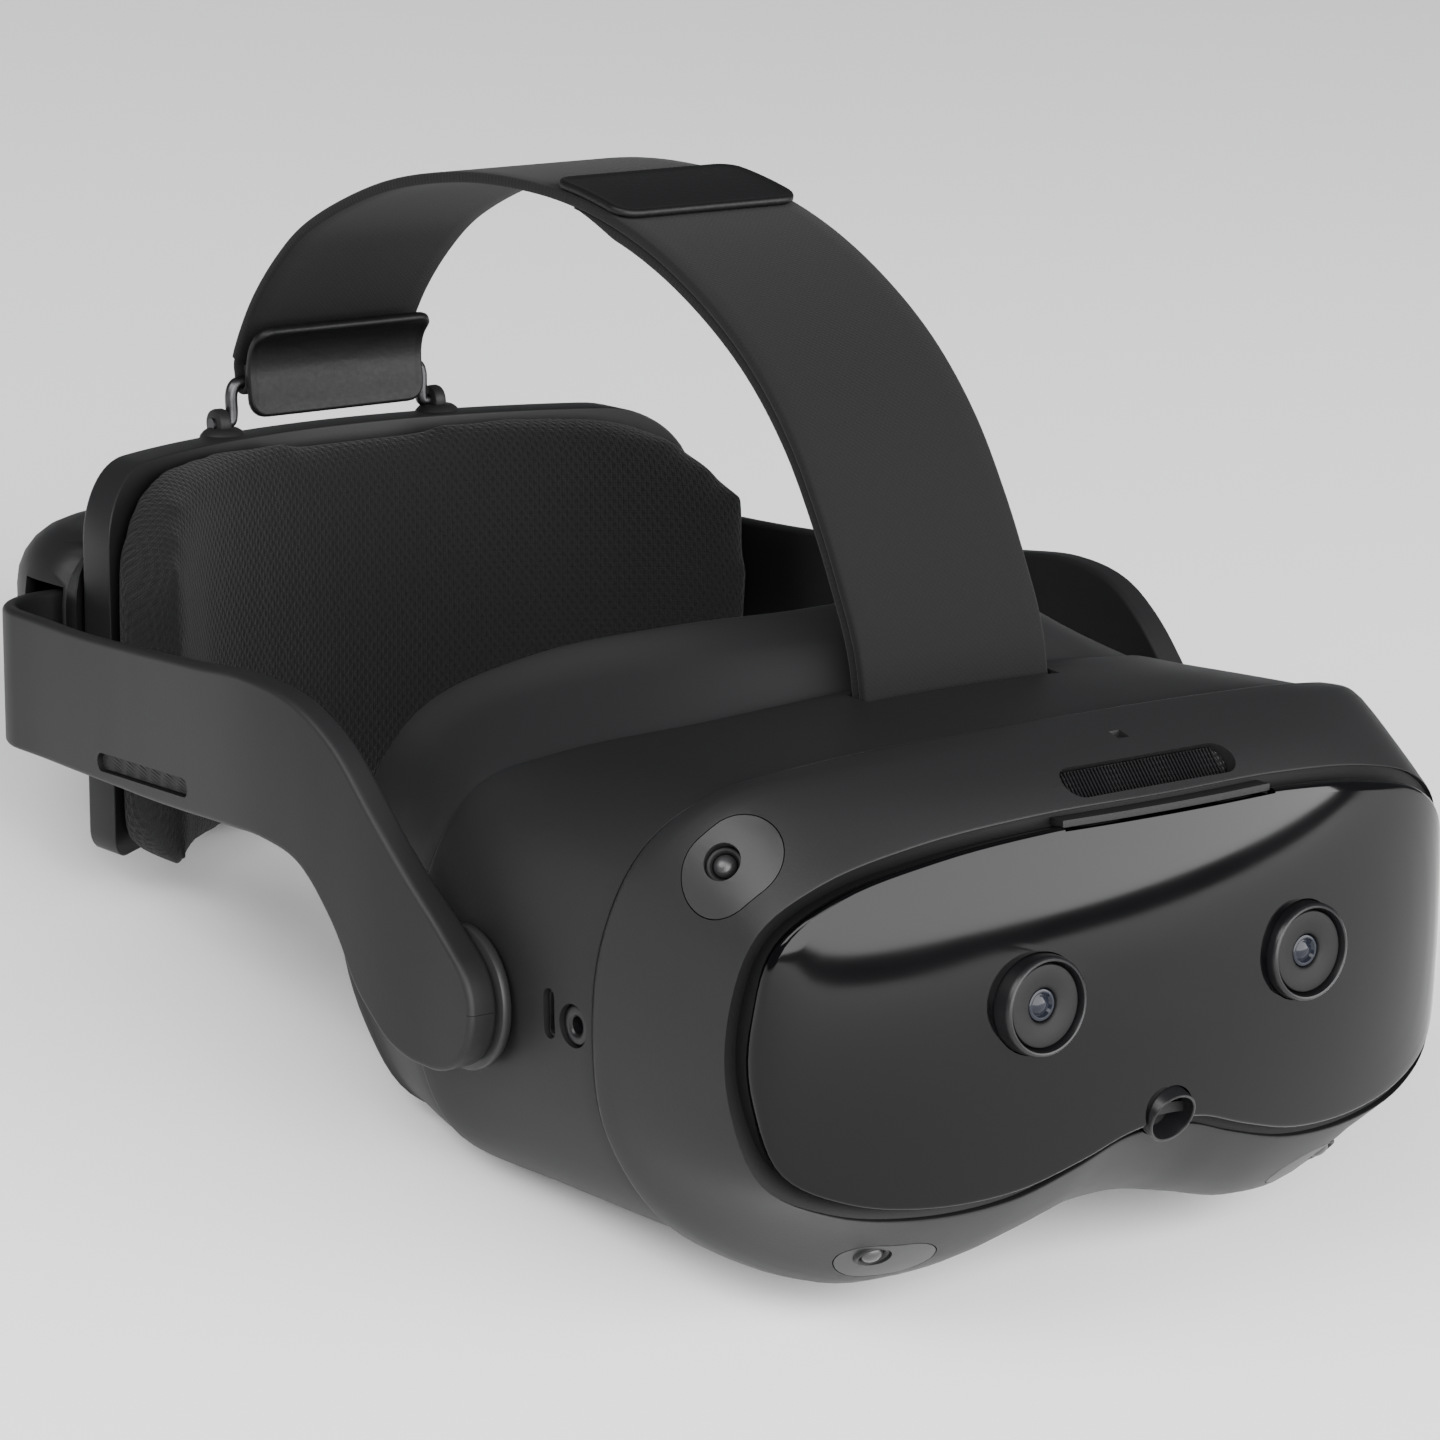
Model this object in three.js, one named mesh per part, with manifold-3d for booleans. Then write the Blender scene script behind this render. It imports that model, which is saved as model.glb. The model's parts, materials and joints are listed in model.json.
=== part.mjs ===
// A standalone virtual-reality headset with a hard rear band, as an assembly of separate pieces.
//
// Everything is modelled in the wearer's frame: X to the wearer's left, Y to the back of the head, Z up,
// with the origin on the symmetry plane, level with the two front cameras. The last lines tip the whole
// headset back so that it stands on its visor and rear housing, as it does on a table. Millimetres.

import * as THREE from "three";
import { mergeVertices } from "three/addons/utils/BufferGeometryUtils.js";
import Module from "manifold-3d";

const wasm = await Module();
wasm.setup();

// ---------------------------------------------------------------- driving dimensions

const GAP = 0.35; // clearance left between neighbouring pieces
const RING_POINTS = 36; // points round each lofted ring of the visor
const CENTRE_Z = -4; // height of the visor's section centre

const restPitch = 10; // degrees the headset tips back when it stands on a table
const standY = 85; // middle of the headset's footprint, front to back, once tipped
const standZ = 57.45; // height of the front cameras above the table, once tipped

const windowHalfWidth = 83;
const windowDepth = 20.4; // how far the window bulges in front of its side edges
const windowEdgeY = -50.6;
const windowThickness = 2.2;
const shellWall = 2.4;

const cameraSpacing = 64; // between the two front cameras
const eyeSpacing = 64.5; // between the eye lenses, at rest
const barrelRadius = 24;
const eyeLensRadius = 20.2;

const armThickness = { front: 6.5, rear: 3.4 };
const pivot = { y: 25.2, z: -9.2 };
const pivotRadius = 13;
const pinRadius = 3.4;
const discInnerX = 90.4;
const discOuterX = 92.65;
const SIDES = { right: -1, left: 1 };
const flankX = 89.4; // half-width of the visor's parallel sides

const strapWidth = 45;
const webbing = 2.3; // thickness of one layer of strap

const padHalfWidth = 75;
const padBottom = -15.8;
const padTop = 67.5;
const frameHalfWidth = 75.5;
const frameFront = { sideY: 178, middleY: 204.5 };
const frameBack = { sideY: 189.5, middleY: 214 };
const housing = {
  halfWidth: 77, backY: 239, bottom: 3, top: 50, corner: 34, bottomEdge: 9, topEdge: 13, wall: 2.4,
};
const chin = { halfWidth: 36, frontY: 214.6, corner: 9 }; // deeper middle of the housing, with a flat foot under it

const dial = { radius: 12, thickness: 7.5, z: 0, pinionRadius: 6 };
const battery = { halfWidth: 52, bottom: 13, top: 45, frontY: 222 };
const bail = { halfWidth: 24.7, y: 210.5, z: 68.5, wireRadius: 1.4, height: 8.6 };

const ipdWheel = { radius: 16.5, z: -30, pinionRadius: 4.3, shaftRadius: 2 };

// ---------------------------------------------------------------- outlines of the visor
// Each list runs down one half of the visor, from the middle of the top to the nose, as [x, y, z].

const seamLine = [
  [0, -36, 42.5], [30, -36, 42.4], [58, -34.5, 41], [74.5, -28, 36.5], [84, -20.5, 26.5],
  [88.3, -13.5, 8], [89, -12, -12], [86, -12, -28], [76, -15, -44.5], [58, -19, -54.5],
  [40, -21, -54], [24, -22, -49], [10, -22, -46], [0, -22, -45],
];
const shoulderLine = [
  [0, -49, 42.3], [30, -48.5, 42.3], [57.5, -44.5, 41.2], [75.5, -36, 38], [85.2, -28.5, 27.5],
  [89.8, -21.5, 7], [90, -20, -13], [86.5, -20.5, -29], [76, -27, -46], [57, -38, -55.5],
  [38.5, -42, -55.5], [22.5, -43, -51.5], [9.5, -44, -48.5], [0, -44, -48],
];
const faceLine = [
  [0, -59.5, 38.5], [30, -59, 38.4], [56, -54, 37], [74, -45.5, 33.5], [83.5, -40, 23.5],
  [88, -34.5, 4], [88, -34, -14], [84.3, -35.5, -30], [73.5, -41, -42], [55, -49, -49.5],
  [36, -53, -49.5], [20.5, -55.5, -45.5], [9, -57, -41.5], [0, -57.3, -40.5],
];
const openingLine = [
  [0, -66.5, 33.5], [29, -65.3, 33.2], [54, -62.2, 30.6], [72, -57.7, 25.3], [82.2, -52.8, 17],
  [85.4, -48.5, 2], [85.3, -48.3, -14], [81.5, -53.2, -29], [69.5, -58.5, -35.5],
  [52.5, -62.5, -38.2], [34, -65, -37.5], [19.5, -66, -33.8], [8.7, -66.4, -30.2], [0, -66.5, -29.2],
];
const windowLine = [
  [0, 31.5], [28, 31.2], [52, 28.6], [70.4, 23.4], [80, 15.5], [82.9, 2], [82.8, -14],
  [79, -27], [68, -33.2], [52, -36.1], [34, -35.5], [20, -31.9], [9, -28.3], [0, -27.4],
];
const creaseLine = [
  [0, 1.2, 45], [24, 0.6, 44.2], [50, 6, 41.2], [72, 22, 35.5], [84, 32, 29],
  [89, 42, 10], [90, 44.5, -10], [88.5, 45, -28], [82, 42, -42], [64, 37, -51],
  [44, 33, -51.5], [25, 30, -47.5], [10, 28.5, -44.5], [0, 28, -44],
];
const stepLine = [
  [0, 8, 53], [20, 9.5, 52.2], [40, 19, 49.8], [58, 43, 43], [70, 59.5, 33.5],
  [77, 70, 12], [80, 74, -8], [80, 73, -26], [76, 66, -40], [60, 56, -48],
  [42, 50, -48.5], [24, 46, -44], [10, 44, -39], [0, 43.5, -38],
];
const brimLine = [
  [0, 22, 56.5], [18, 23, 56], [38, 31, 54.5], [56, 54, 47], [69, 75, 33.5],
  [77, 84, 12], [80.5, 85.5, -9], [80, 78, -28], [76, 68, -41], [60, 60, -46],
  [42, 54, -45], [24, 50, -40], [10, 48, -34], [0, 47, -32],
];

// ---------------------------------------------------------------- geometry helpers

function outward(geometry) {
  const p = geometry.attributes.position;
  const index = geometry.index.array;
  const a = new THREE.Vector3();
  const b = new THREE.Vector3();
  const c = new THREE.Vector3();
  let volume = 0;
  for (let i = 0; i < index.length; i += 3) {
    a.fromBufferAttribute(p, index[i]);
    b.fromBufferAttribute(p, index[i + 1]);
    c.fromBufferAttribute(p, index[i + 2]);
    volume += a.dot(b.cross(c));
  }
  if (volume < 0) {
    for (let i = 0; i < index.length; i += 3) [index[i], index[i + 1]] = [index[i + 1], index[i]];
  }
  return geometry;
}

function closedGeometry(positions, index) {
  const geometry = new THREE.BufferGeometry();
  geometry.setAttribute("position", new THREE.Float32BufferAttribute(positions, 3));
  geometry.setIndex(index);
  return outward(geometry);
}

function merged(geometry) {
  const bare = geometry.clone();
  for (const name of Object.keys(bare.attributes)) {
    if (name !== "position") bare.deleteAttribute(name);
  }
  return mergeVertices(bare, 1e-4);
}

function toSolid(geometry) {
  const bare = outward(merged(geometry));
  const vertProperties = new Float32Array(bare.attributes.position.array);
  const triVerts = new Uint32Array(bare.index.array);
  return new wasm.Manifold(new wasm.Mesh({ numProp: 3, vertProperties, triVerts }));
}

function toGeometry(solid) {
  const mesh = solid.getMesh();
  return closedGeometry(Array.from(mesh.vertProperties), Array.from(mesh.triVerts));
}

function cut(geometry, ...tools) {
  let solid = toSolid(geometry);
  for (const tool of tools) solid = solid.subtract(toSolid(tool));
  return toGeometry(solid);
}

function join(...geometries) {
  let solid = toSolid(geometries[0]);
  for (const other of geometries.slice(1)) solid = solid.add(toSolid(other));
  return toGeometry(solid);
}

function common(first, second) {
  return toGeometry(toSolid(first).intersect(toSolid(second)));
}

// Skins a stack of rings that have the same number of points. A closed stack joins its last ring to
// its first; an open one is capped with a fan at each end.
function loft(rings, closedStack = false) {
  const count = rings[0].length;
  const points = rings.flat();
  const index = [];
  const bands = closedStack ? rings.length : rings.length - 1;
  for (let band = 0; band < bands; band++) {
    const near = band * count;
    const far = ((band + 1) % rings.length) * count;
    for (let i = 0; i < count; i++) {
      const j = (i + 1) % count;
      index.push(near + i, far + i, far + j, near + i, far + j, near + j);
    }
  }
  if (!closedStack) {
    const last = (rings.length - 1) * count;
    points.push(middleOf(rings[0]), middleOf(rings.at(-1)));
    for (let i = 0; i < count; i++) {
      const j = (i + 1) % count;
      index.push(points.length - 2, i, j);
      index.push(points.length - 1, last + j, last + i);
    }
  }
  return closedGeometry(points.flatMap((p) => p.toArray()), index);
}

function middleOf(ring) {
  const sum = new THREE.Vector3();
  for (const p of ring) sum.add(p);
  return sum.divideScalar(ring.length);
}

// A smooth closed ring through a half outline and its mirror image.
function ring(half) {
  const left = half.map(([x, y, z]) => new THREE.Vector3(x, y, z));
  const right = left.slice(1, -1).reverse().map((p) => new THREE.Vector3(-p.x, p.y, p.z));
  const curve = new THREE.CatmullRomCurve3([...left, ...right], true, "centripetal");
  return Array.from({ length: RING_POINTS }, (_, i) => curve.getPoint(i / RING_POINTS));
}

// Moves a ring inward, towards the middle of the section, and back along Y.
function inset(points, inward, back = 0) {
  return points.map((p) => {
    const radius = Math.hypot(p.x, p.z - CENTRE_Z);
    const scale = (radius - inward) / radius;
    return new THREE.Vector3(p.x * scale, p.y + back, CENTRE_Z + (p.z - CENTRE_Z) * scale);
  });
}

function between(first, second, share, inward = 0) {
  return inset(first.map((p, i) => p.clone().lerp(second[i], share)), inward);
}

const AXES = {
  x: new THREE.Matrix4().makeBasis(
    new THREE.Vector3(0, 1, 0), new THREE.Vector3(0, 0, 1), new THREE.Vector3(1, 0, 0)),
  y: new THREE.Matrix4().makeBasis(
    new THREE.Vector3(1, 0, 0), new THREE.Vector3(0, 0, 1), new THREE.Vector3(0, -1, 0)),
};

// Extrudes a (Y, Z) shape along X, an (X, Z) shape along Y, or an (X, Y) shape along Z.
function extrude(shape, axis, from, to, curveSegments = 4) {
  const options = { depth: to - from, bevelEnabled: false, curveSegments };
  const geometry = new THREE.ExtrudeGeometry(shape, options);
  if (axis === "x") return geometry.applyMatrix4(AXES.x).translate(from, 0, 0);
  if (axis === "y") return geometry.applyMatrix4(AXES.y).translate(0, to, 0);
  return geometry.translate(0, 0, from);
}

function box(x0, x1, y0, y1, z0, z1) {
  const geometry = new THREE.BoxGeometry(x1 - x0, y1 - y0, z1 - z0);
  return geometry.translate((x0 + x1) / 2, (y0 + y1) / 2, (z0 + z1) / 2);
}

function rodX(radius, x0, x1, y, z, sides = 20) {
  const geometry = new THREE.CylinderGeometry(radius, radius, x1 - x0, sides);
  return geometry.rotateZ(Math.PI / 2).translate((x0 + x1) / 2, y, z);
}

function rodY(radius, y0, y1, x, z, sides = 20) {
  const geometry = new THREE.CylinderGeometry(radius, radius, y1 - y0, sides);
  return geometry.translate(x, (y0 + y1) / 2, z);
}

// Turns a profile of [radius, height] points about Y.
function turned(profile, sides = 20) {
  return new THREE.LatheGeometry(profile.map(([r, h]) => new THREE.Vector2(r, h)), sides);
}

// Moves a piece built about +Z at the origin so that it faces along a direction at a place.
function facing(geometry, direction, place) {
  const turn = new THREE.Quaternion().setFromUnitVectors(
    new THREE.Vector3(0, 0, 1), new THREE.Vector3(...direction).normalize());
  return geometry.applyQuaternion(turn).translate(...place);
}

// A turned piece whose profile heights run along a direction from a place.
function turnedAlong(profile, direction, place, sides = 20) {
  return facing(turned(profile, sides).rotateX(Math.PI / 2), direction, place);
}

function stadium(length, radius) {
  const shape = new THREE.Shape();
  const half = length / 2 - radius;
  shape.moveTo(-half, -radius);
  shape.lineTo(half, -radius);
  shape.absarc(half, 0, radius, -Math.PI / 2, Math.PI / 2, false);
  shape.lineTo(-half, radius);
  shape.absarc(-half, 0, radius, Math.PI / 2, (3 * Math.PI) / 2, false);
  return shape;
}

function roundedRectangle(x0, x1, y0, y1, radius) {
  const shape = new THREE.Shape();
  shape.moveTo(x0 + radius, y0);
  shape.lineTo(x1 - radius, y0);
  shape.absarc(x1 - radius, y0 + radius, radius, -Math.PI / 2, 0, false);
  shape.lineTo(x1, y1 - radius);
  shape.absarc(x1 - radius, y1 - radius, radius, 0, Math.PI / 2, false);
  shape.lineTo(x0 + radius, y1);
  shape.absarc(x0 + radius, y1 - radius, radius, Math.PI / 2, Math.PI, false);
  shape.lineTo(x0, y0 + radius);
  shape.absarc(x0 + radius, y0 + radius, radius, Math.PI, 1.5 * Math.PI, false);
  return shape;
}

function polygon(points) {
  return new THREE.Shape(points.map(([a, b]) => new THREE.Vector2(a, b)));
}

function mirrored(geometry) {
  return outward(merged(geometry).scale(-1, 1, 1));
}

// ---------------------------------------------------------------- visor, outside

const seam = ring(seamLine);
const crease = ring(creaseLine);

function windowSurfaceY(x, z) {
  const across = Math.min(1, Math.abs(x) / (windowHalfWidth + 0.6));
  const bulge = windowDepth * Math.sqrt(1 - across * across);
  return windowEdgeY - bulge + 2 * ((z - 2) / 33) ** 2;
}

function bezelShell() {
  const shoulder = ring(shoulderLine);
  const face = ring(faceLine);
  const opening = ring(openingLine);
  const channelDepth = 4;
  const ledge = 5;
  const ledgeThickness = 1.8;
  return loft([
    opening,
    face,
    shoulder,
    seam,
    inset(seam, shellWall),
    inset(shoulder, shellWall, 0.6),
    inset(face, shellWall, 1.6),
    inset(opening, 0, channelDepth + ledgeThickness),
    inset(opening, ledge, channelDepth + ledgeThickness),
    inset(opening, ledge, channelDepth),
    inset(opening, 0, channelDepth),
  ], true);
}

const slotNormal = [0, -0.76, 0.65];
const slotCentre = [0.4, -60.5, 36.4];

function ventSlotTool(grow, from, to) {
  const shape = stadium(41 + 2 * grow, 3.7 + grow);
  const options = { depth: to - from, bevelEnabled: false, curveSegments: 4 };
  const geometry = new THREE.ExtrudeGeometry(shape, options).translate(0, 0, from);
  return facing(geometry, slotNormal, slotCentre);
}

const trackingSites = {
  upper: { place: [76.6, -40, 24.6], direction: [0.75, -0.4, 0.53], length: 20.5, radius: 8.2, spin: 0.28 },
  lower: { place: [51.5, -50.5, -49], direction: [0.08, -0.6, -0.8], length: 19, radius: 6.6, spin: 0 },
};
const trackingLenses = {
  upper: { place: [78, -37.6, 25.6], direction: [0.66, -0.6, 0.46] },
  lower: { place: [55.2, -51.5, -47.9], direction: [0.13, -0.66, -0.74] },
};

// The prism that parts an insert from the bezel's wall; grow widens and deepens it by the clearance.
function insertTool(site, grow) {
  const shape = stadium(site.length + 2 * grow, site.radius + grow);
  const from = -3.8 - grow;
  const options = { depth: 8 - from, bevelEnabled: false, curveSegments: 4 };
  const geometry = new THREE.ExtrudeGeometry(shape, options).translate(0, 0, from);
  return facing(geometry.rotateZ(site.spin), site.direction, site.place);
}

function lensHoleTool(lens, radius) {
  return turnedAlong([[0, -6], [radius, -6], [radius, 6], [0, 6]], lens.direction, lens.place, 16);
}

const hood = { place: [0, -70.4, -26.8], direction: [0, -0.93, -0.38], radius: 5.3, length: 11 };

function hoodTool() {
  const radius = hood.radius + GAP;
  const profile = [[0, -16], [radius, -16], [radius, 6], [0, 6]];
  return turnedAlong(profile, hood.direction, hood.place, 24);
}

function frontBezel() {
  const tools = [ventSlotTool(0, -4, 6), hoodTool(), box(1, 3.6, -52.4, -49.6, 36, 46)];
  for (const site of Object.values(trackingSites)) {
    tools.push(insertTool(site, GAP), mirrored(insertTool(site, GAP)));
  }
  return cut(bezelShell(), ...tools);
}

function trackingInsert(name) {
  const piece = common(bezelShell(), insertTool(trackingSites[name], 0));
  return cut(piece, lensHoleTool(trackingLenses[name], 3.8));
}

function trackingLens(name) {
  const { direction, place } = trackingLenses[name];
  const profile = [[0, -2.8], [3.4, -2.8], [3.4, -0.4], [2.8, 0.4], [1.6, 1], [0, 1.2]];
  return turnedAlong(profile, direction, place, 16);
}

function ventMesh() {
  return ventSlotTool(-GAP, -2.2, -1.2);
}

function frontMicrophone() {
  return box(1 + GAP, 3.6 - GAP, -52.4 + GAP, -49.6 - GAP, 39.4, 41);
}

function frontWindow() {
  const shares = [1, 0.93, 0.72, 0.4];
  const outline = ring(windowLine.map(([x, z]) => [x, 0, z]));
  const surface = (share, back) => outline.map((p) => {
    const x = p.x * share;
    const z = (p.z + 2) * share - 2;
    return new THREE.Vector3(x, windowSurfaceY(x, z) + back, z);
  });
  const front = shares.map((share) => surface(share, 0)).reverse();
  const back = shares.map((share) => surface(share * 0.985, windowThickness));
  const holes = [-1, 1].map((side) => rodY(9.85, -90, -50, (side * cameraSpacing) / 2, 0, 20));
  const bridgeNotch = box(-25.4, 25.4, -75, -60, 30.6, 34);
  return cut(loft([...front, ...back]), ...holes, bridgeNotch, hoodTool());
}

function windowBridge() {
  const arc = [-25, -12.5, 0, 12.5, 25];
  const front = arc.map((x) => [x, windowSurfaceY(x, 31) + 1.2]);
  const back = arc.map((x) => [x, windowSurfaceY(x, 31) + 6.4]).reverse();
  return extrude(polygon([...front, ...back]), "z", 31, 32.3);
}

function passthroughBarrel(side) {
  const profile = [
    [6.2, -57], [9.4, -57], [9.4, -71.6], [8.7, -72.3], [8, -72.3], [7.6, -70.9],
    [5, -70.3], [4.4, -71], [3.7, -71], [3.4, -68], [6.2, -66], [6.2, -57],
  ];
  return turned(profile).translate((side * cameraSpacing) / 2, 0, 0);
}

function passthroughLens(side) {
  const profile = [[0, -59], [5.8, -59], [5.8, -65.2], [3, -67.4], [2.9, -69.4], [1.7, -70.2], [0, -70.5]];
  return turned(profile, 16).translate((side * cameraSpacing) / 2, 0, 0);
}

function depthHood() {
  const { radius, length } = hood;
  const profile = [
    [radius - 1.2, -length], [radius, -length], [radius, 0], [radius - 0.7, 0],
    [radius - 0.7, -length + 3], [radius - 1.2, -length + 3], [radius - 1.2, -length],
  ];
  return turnedAlong(profile, hood.direction, hood.place, 24);
}

function depthLens() {
  const radius = hood.radius - 1.2 - GAP;
  const profile = [[0, -hood.length + 0.4], [radius, -hood.length + 0.4], [radius, -5.5], [0, -4.6]];
  return turnedAlong(profile, hood.direction, hood.place, 20);
}

// ---------------------------------------------------------------- visor, shells

const usbPlace = { y: 1.1, z: -7.7 };
const jackPlace = { y: -6.2, z: -8.5 };
const powerPlace = { y: -6, z: 8 };
const rockerPlace = { y: 3.6, z: -7 };

function bodyShell() {
  const front = inset(seam, 0, GAP);
  const waist = between(front, crease, 0.36, -0.1);
  const flank = between(front, crease, 0.74, 0.1);
  const shell = loft([
    front, waist, flank, crease,
    inset(crease, shellWall), inset(flank, shellWall), inset(waist, shellWall), inset(front, shellWall),
  ], true);
  const strapSlot = box(-strapWidth / 2 - 0.8, strapWidth / 2 + 0.8, -9.8, -1.9, 36, 52);
  const usb = extrude(stadium(9.6, 1.7), "x", -100, -70).rotateX(Math.PI / 2)
    .translate(0, usbPlace.y, usbPlace.z);
  const jack = rodX(4.3, -100, -70, jackPlace.y, jackPlace.z);
  const power = rodX(3.6, 70, 100, powerPlace.y, powerPlace.z);
  const rocker = extrude(stadium(16, 2.9), "x", 70, 100).rotateX(Math.PI / 2)
    .translate(0, rockerPlace.y, rockerPlace.z);
  const pins = rodX(pinRadius + GAP, -100, 100, pivot.y, pivot.z);
  const wheelSlot = box(-12, 12, 12.2, 16.8, -50, -36);
  return cut(shell, strapSlot, usb, jack, power, rocker, pins, wheelSlot);
}

function faceShield() {
  const start = inset(crease, 0, GAP);
  const step = ring(stepLine);
  const brim = ring(brimLine);
  return loft([
    start, step, brim, inset(brim, 5, 0.6), inset(step, 4, 1.5), inset(start, 4.2, 2),
  ], true);
}

function faceCushion() {
  const brim = ring(brimLine);
  return loft([
    inset(brim, 7.5, 1), inset(brim, 8, 7), inset(brim, 12, 9.5),
    inset(brim, 20, 6), inset(brim, 20, 0),
  ], true);
}

function strapAnchorBar() {
  return box(-27, 27, -7.6, -5.6, 33.4, 36.4);
}

function usbSocket() {
  const shell = extrude(stadium(8.9, 1.35), "x", -flankX + 0.9, -flankX + 9).rotateX(Math.PI / 2);
  const mouth = extrude(stadium(8, 0.95), "x", -flankX, -flankX + 7.6).rotateX(Math.PI / 2);
  const tongue = box(-flankX + 2, -flankX + 8, -0.3, 0.3, -3, 3);
  return join(cut(shell, mouth), tongue).translate(0, usbPlace.y, usbPlace.z);
}

function audioJack() {
  const profile = [
    [1.75, 0], [3.95, 0], [3.95, 6.6], [3.3, 7.2], [1.75, 7.2], [1.75, 0],
  ];
  return turned(profile, 24).rotateZ(Math.PI / 2).translate(-flankX + 7.9, jackPlace.y, jackPlace.z);
}

function powerButton() {
  return rodX(3.2, flankX - 6, flankX + 0.9, powerPlace.y, powerPlace.z);
}

function volumeRocker() {
  return extrude(stadium(15.2, 2.5), "x", flankX - 5, flankX + 0.7).rotateX(Math.PI / 2)
    .translate(0, rockerPlace.y, rockerPlace.z);
}

// ---------------------------------------------------------------- visor, inside

function opticalChassis() {
  const half = [
    [0, 38], [42, 38], [61, 32], [70, 21], [73, 0], [72, -20],
    [65, -34], [45, -37], [26, -32], [14, -22], [6, -16], [0, -15],
  ];
  const left = half.map(([x, z]) => new THREE.Vector3(x, z, 0));
  const right = left.slice(1, -1).reverse().map((p) => new THREE.Vector3(-p.x, p.y, 0));
  const outline = new THREE.CatmullRomCurve3([...left, ...right], true, "centripetal").getPoints(36);
  const plate = new THREE.Shape(outline.slice(0, -1).map((p) => new THREE.Vector2(p.x, p.y)));
  for (const side of [-1, 1]) {
    const hole = new THREE.Path();
    const middle = (side * eyeSpacing) / 2;
    hole.absarc(middle + 2.2, 0, 24.6, -Math.PI / 2, Math.PI / 2, false);
    hole.absarc(middle - 2.2, 0, 24.6, Math.PI / 2, (3 * Math.PI) / 2, false);
    plate.holes.push(hole);
  }
  return extrude(plate, "y", 9.2, 11.2, 8);
}

function lensBarrel(side) {
  const outer = barrelRadius;
  const bore = eyeLensRadius + 0.4;
  const profile = [
    [outer, -28], [outer, 6.8], [outer - 1.6, 8.4], [bore, 8.4], [bore, 1],
    [bore - 1.6, 1], [bore - 1.6, -7], [outer - 1.8, -8], [outer - 1.8, -28], [outer, -28],
  ];
  const tube = turned(profile, 24).translate((side * eyeSpacing) / 2, 0, 0);
  const { z, pinionRadius } = ipdWheel;
  if (side < 0) return join(tube, box(-30, 9, 1.6, 5.4, z + pinionRadius + 0.2, z + pinionRadius + 3));
  const rackTop = z - pinionRadius - 0.2;
  const riser = box(26, 30, 1.6, 5.4, rackTop - 1, z + pinionRadius + 3);
  return join(tube, box(-9, 30, 1.6, 5.4, rackTop - 2.8, rackTop), riser);
}

function eyeLens(side) {
  const r = eyeLensRadius;
  const profile = [[0, 1.6], [r * 0.6, 1.8], [r, 2.6], [r, 4.4], [r * 0.75, 6.2], [r * 0.4, 7.6], [0, 8]];
  return turned(profile, 20).translate((side * eyeSpacing) / 2, 0, 0);
}

function displayPanel(side) {
  const middle = (side * eyeSpacing) / 2;
  return box(middle - 21.5, middle + 21.5, -31.2, -28.4, -21.5, 21.5);
}

function ipdDial() {
  const { radius, z, pinionRadius, shaftRadius } = ipdWheel;
  const knurls = 24;
  const rim = new THREE.Shape();
  for (let i = 0; i < 2 * knurls; i++) {
    const r = i % 2 ? radius : radius - 0.7;
    const angle = (i * Math.PI) / knurls;
    rim[i ? "lineTo" : "moveTo"](r * Math.cos(angle), r * Math.sin(angle));
  }
  const wheel = extrude(rim, "y", 13, 16).translate(0, 0, z);
  const shaft = rodY(shaftRadius, 5, 13.5, 0, z, 16);
  return join(wheel, shaft, rodY(pinionRadius, 1.6, 5.4, 0, z));
}

function mainboard() {
  return cut(box(-52, 52, -42, -40.4, -30, 32), box(-11, 11, -44, -38, -40, -22));
}

function heatSink() {
  const fins = 7;
  const pitch = 6;
  const points = [[-20, -42.4]];
  for (let i = 0; i < fins; i++) {
    const x = (i - (fins - 1) / 2) * pitch;
    points.push([x - 1, -45], [x - 1, -54], [x + 1, -54], [x + 1, -45]);
  }
  points.push([20, -42.4]);
  points.splice(1, 0, [-20, -45]);
  points.splice(-1, 0, [20, -45]);
  return extrude(polygon(points), "z", 8, 29);
}

const fan = { x: 0, z: -9, radius: 13, frontY: -53.5, backY: -42.6 };

function fanHousing() {
  const { x, z, radius, frontY, backY } = fan;
  const shell = box(x - 15, x + 15, frontY, backY, z - 15, z + 16);
  const cavity = rodY(radius + 0.9, frontY + 1.2, backY - 1.2, x, z, 24);
  const inlet = rodY(8.5, frontY - 2, frontY + 4, x, z);
  const outlet = box(x - 1, x + 12, frontY + 1.2, backY - 1.2, z, z + 20);
  return cut(shell, cavity, inlet, outlet);
}

function fanRotor() {
  const blades = 9;
  const shape = new THREE.Shape();
  for (let i = 0; i < blades; i++) {
    const angle = (i * 2 * Math.PI) / blades;
    const spots = [[5, 0], [fan.radius, 0.28], [fan.radius, 0.36], [5, 0.16], [5, 0.42]];
    spots.forEach(([r, lag], k) => {
      const x = r * Math.cos(angle + lag);
      const z = r * Math.sin(angle + lag);
      shape[i || k ? "lineTo" : "moveTo"](x, z);
    });
  }
  return extrude(shape, "y", fan.frontY + 2, fan.backY - 2).translate(fan.x, 0, fan.z);
}

function proximitySensor() {
  return box(-4, 4, 5, 8.6, 20, 26);
}

// ---------------------------------------------------------------- arms

// Outer face of the left arm in plan, from the pivot's tip back to the corner, as [x, y].
const armOuterLine = [
  [99.5, 8], [99.5, 15], [100, 25], [102.5, 40], [103.5, 52], [104.5, 63], [105, 79],
  [103.5, 99], [100, 128], [98.5, 140], [96.5, 160], [95, 176], [94.5, 185],
];
const armCorner = { x: 76.5, y: 185, radius: 18, tipX: 68 };
const armUpperEdge = [
  [22, 5.4], [29.4, 12.5], [40.6, 24.8], [52.2, 36.1], [63.5, 42.1], [78.9, 44.3], [99, 43],
  [139.5, 40.1], [159.5, 39.2], [180, 39],
];
const armLowerEdge = [
  [187, 9.5], [128, 11], [88, 13.2], [74.5, 13.3], [62.7, 10.5], [52.9, 1], [45.6, -10.2], [36.5, -19.2],
];

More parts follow.
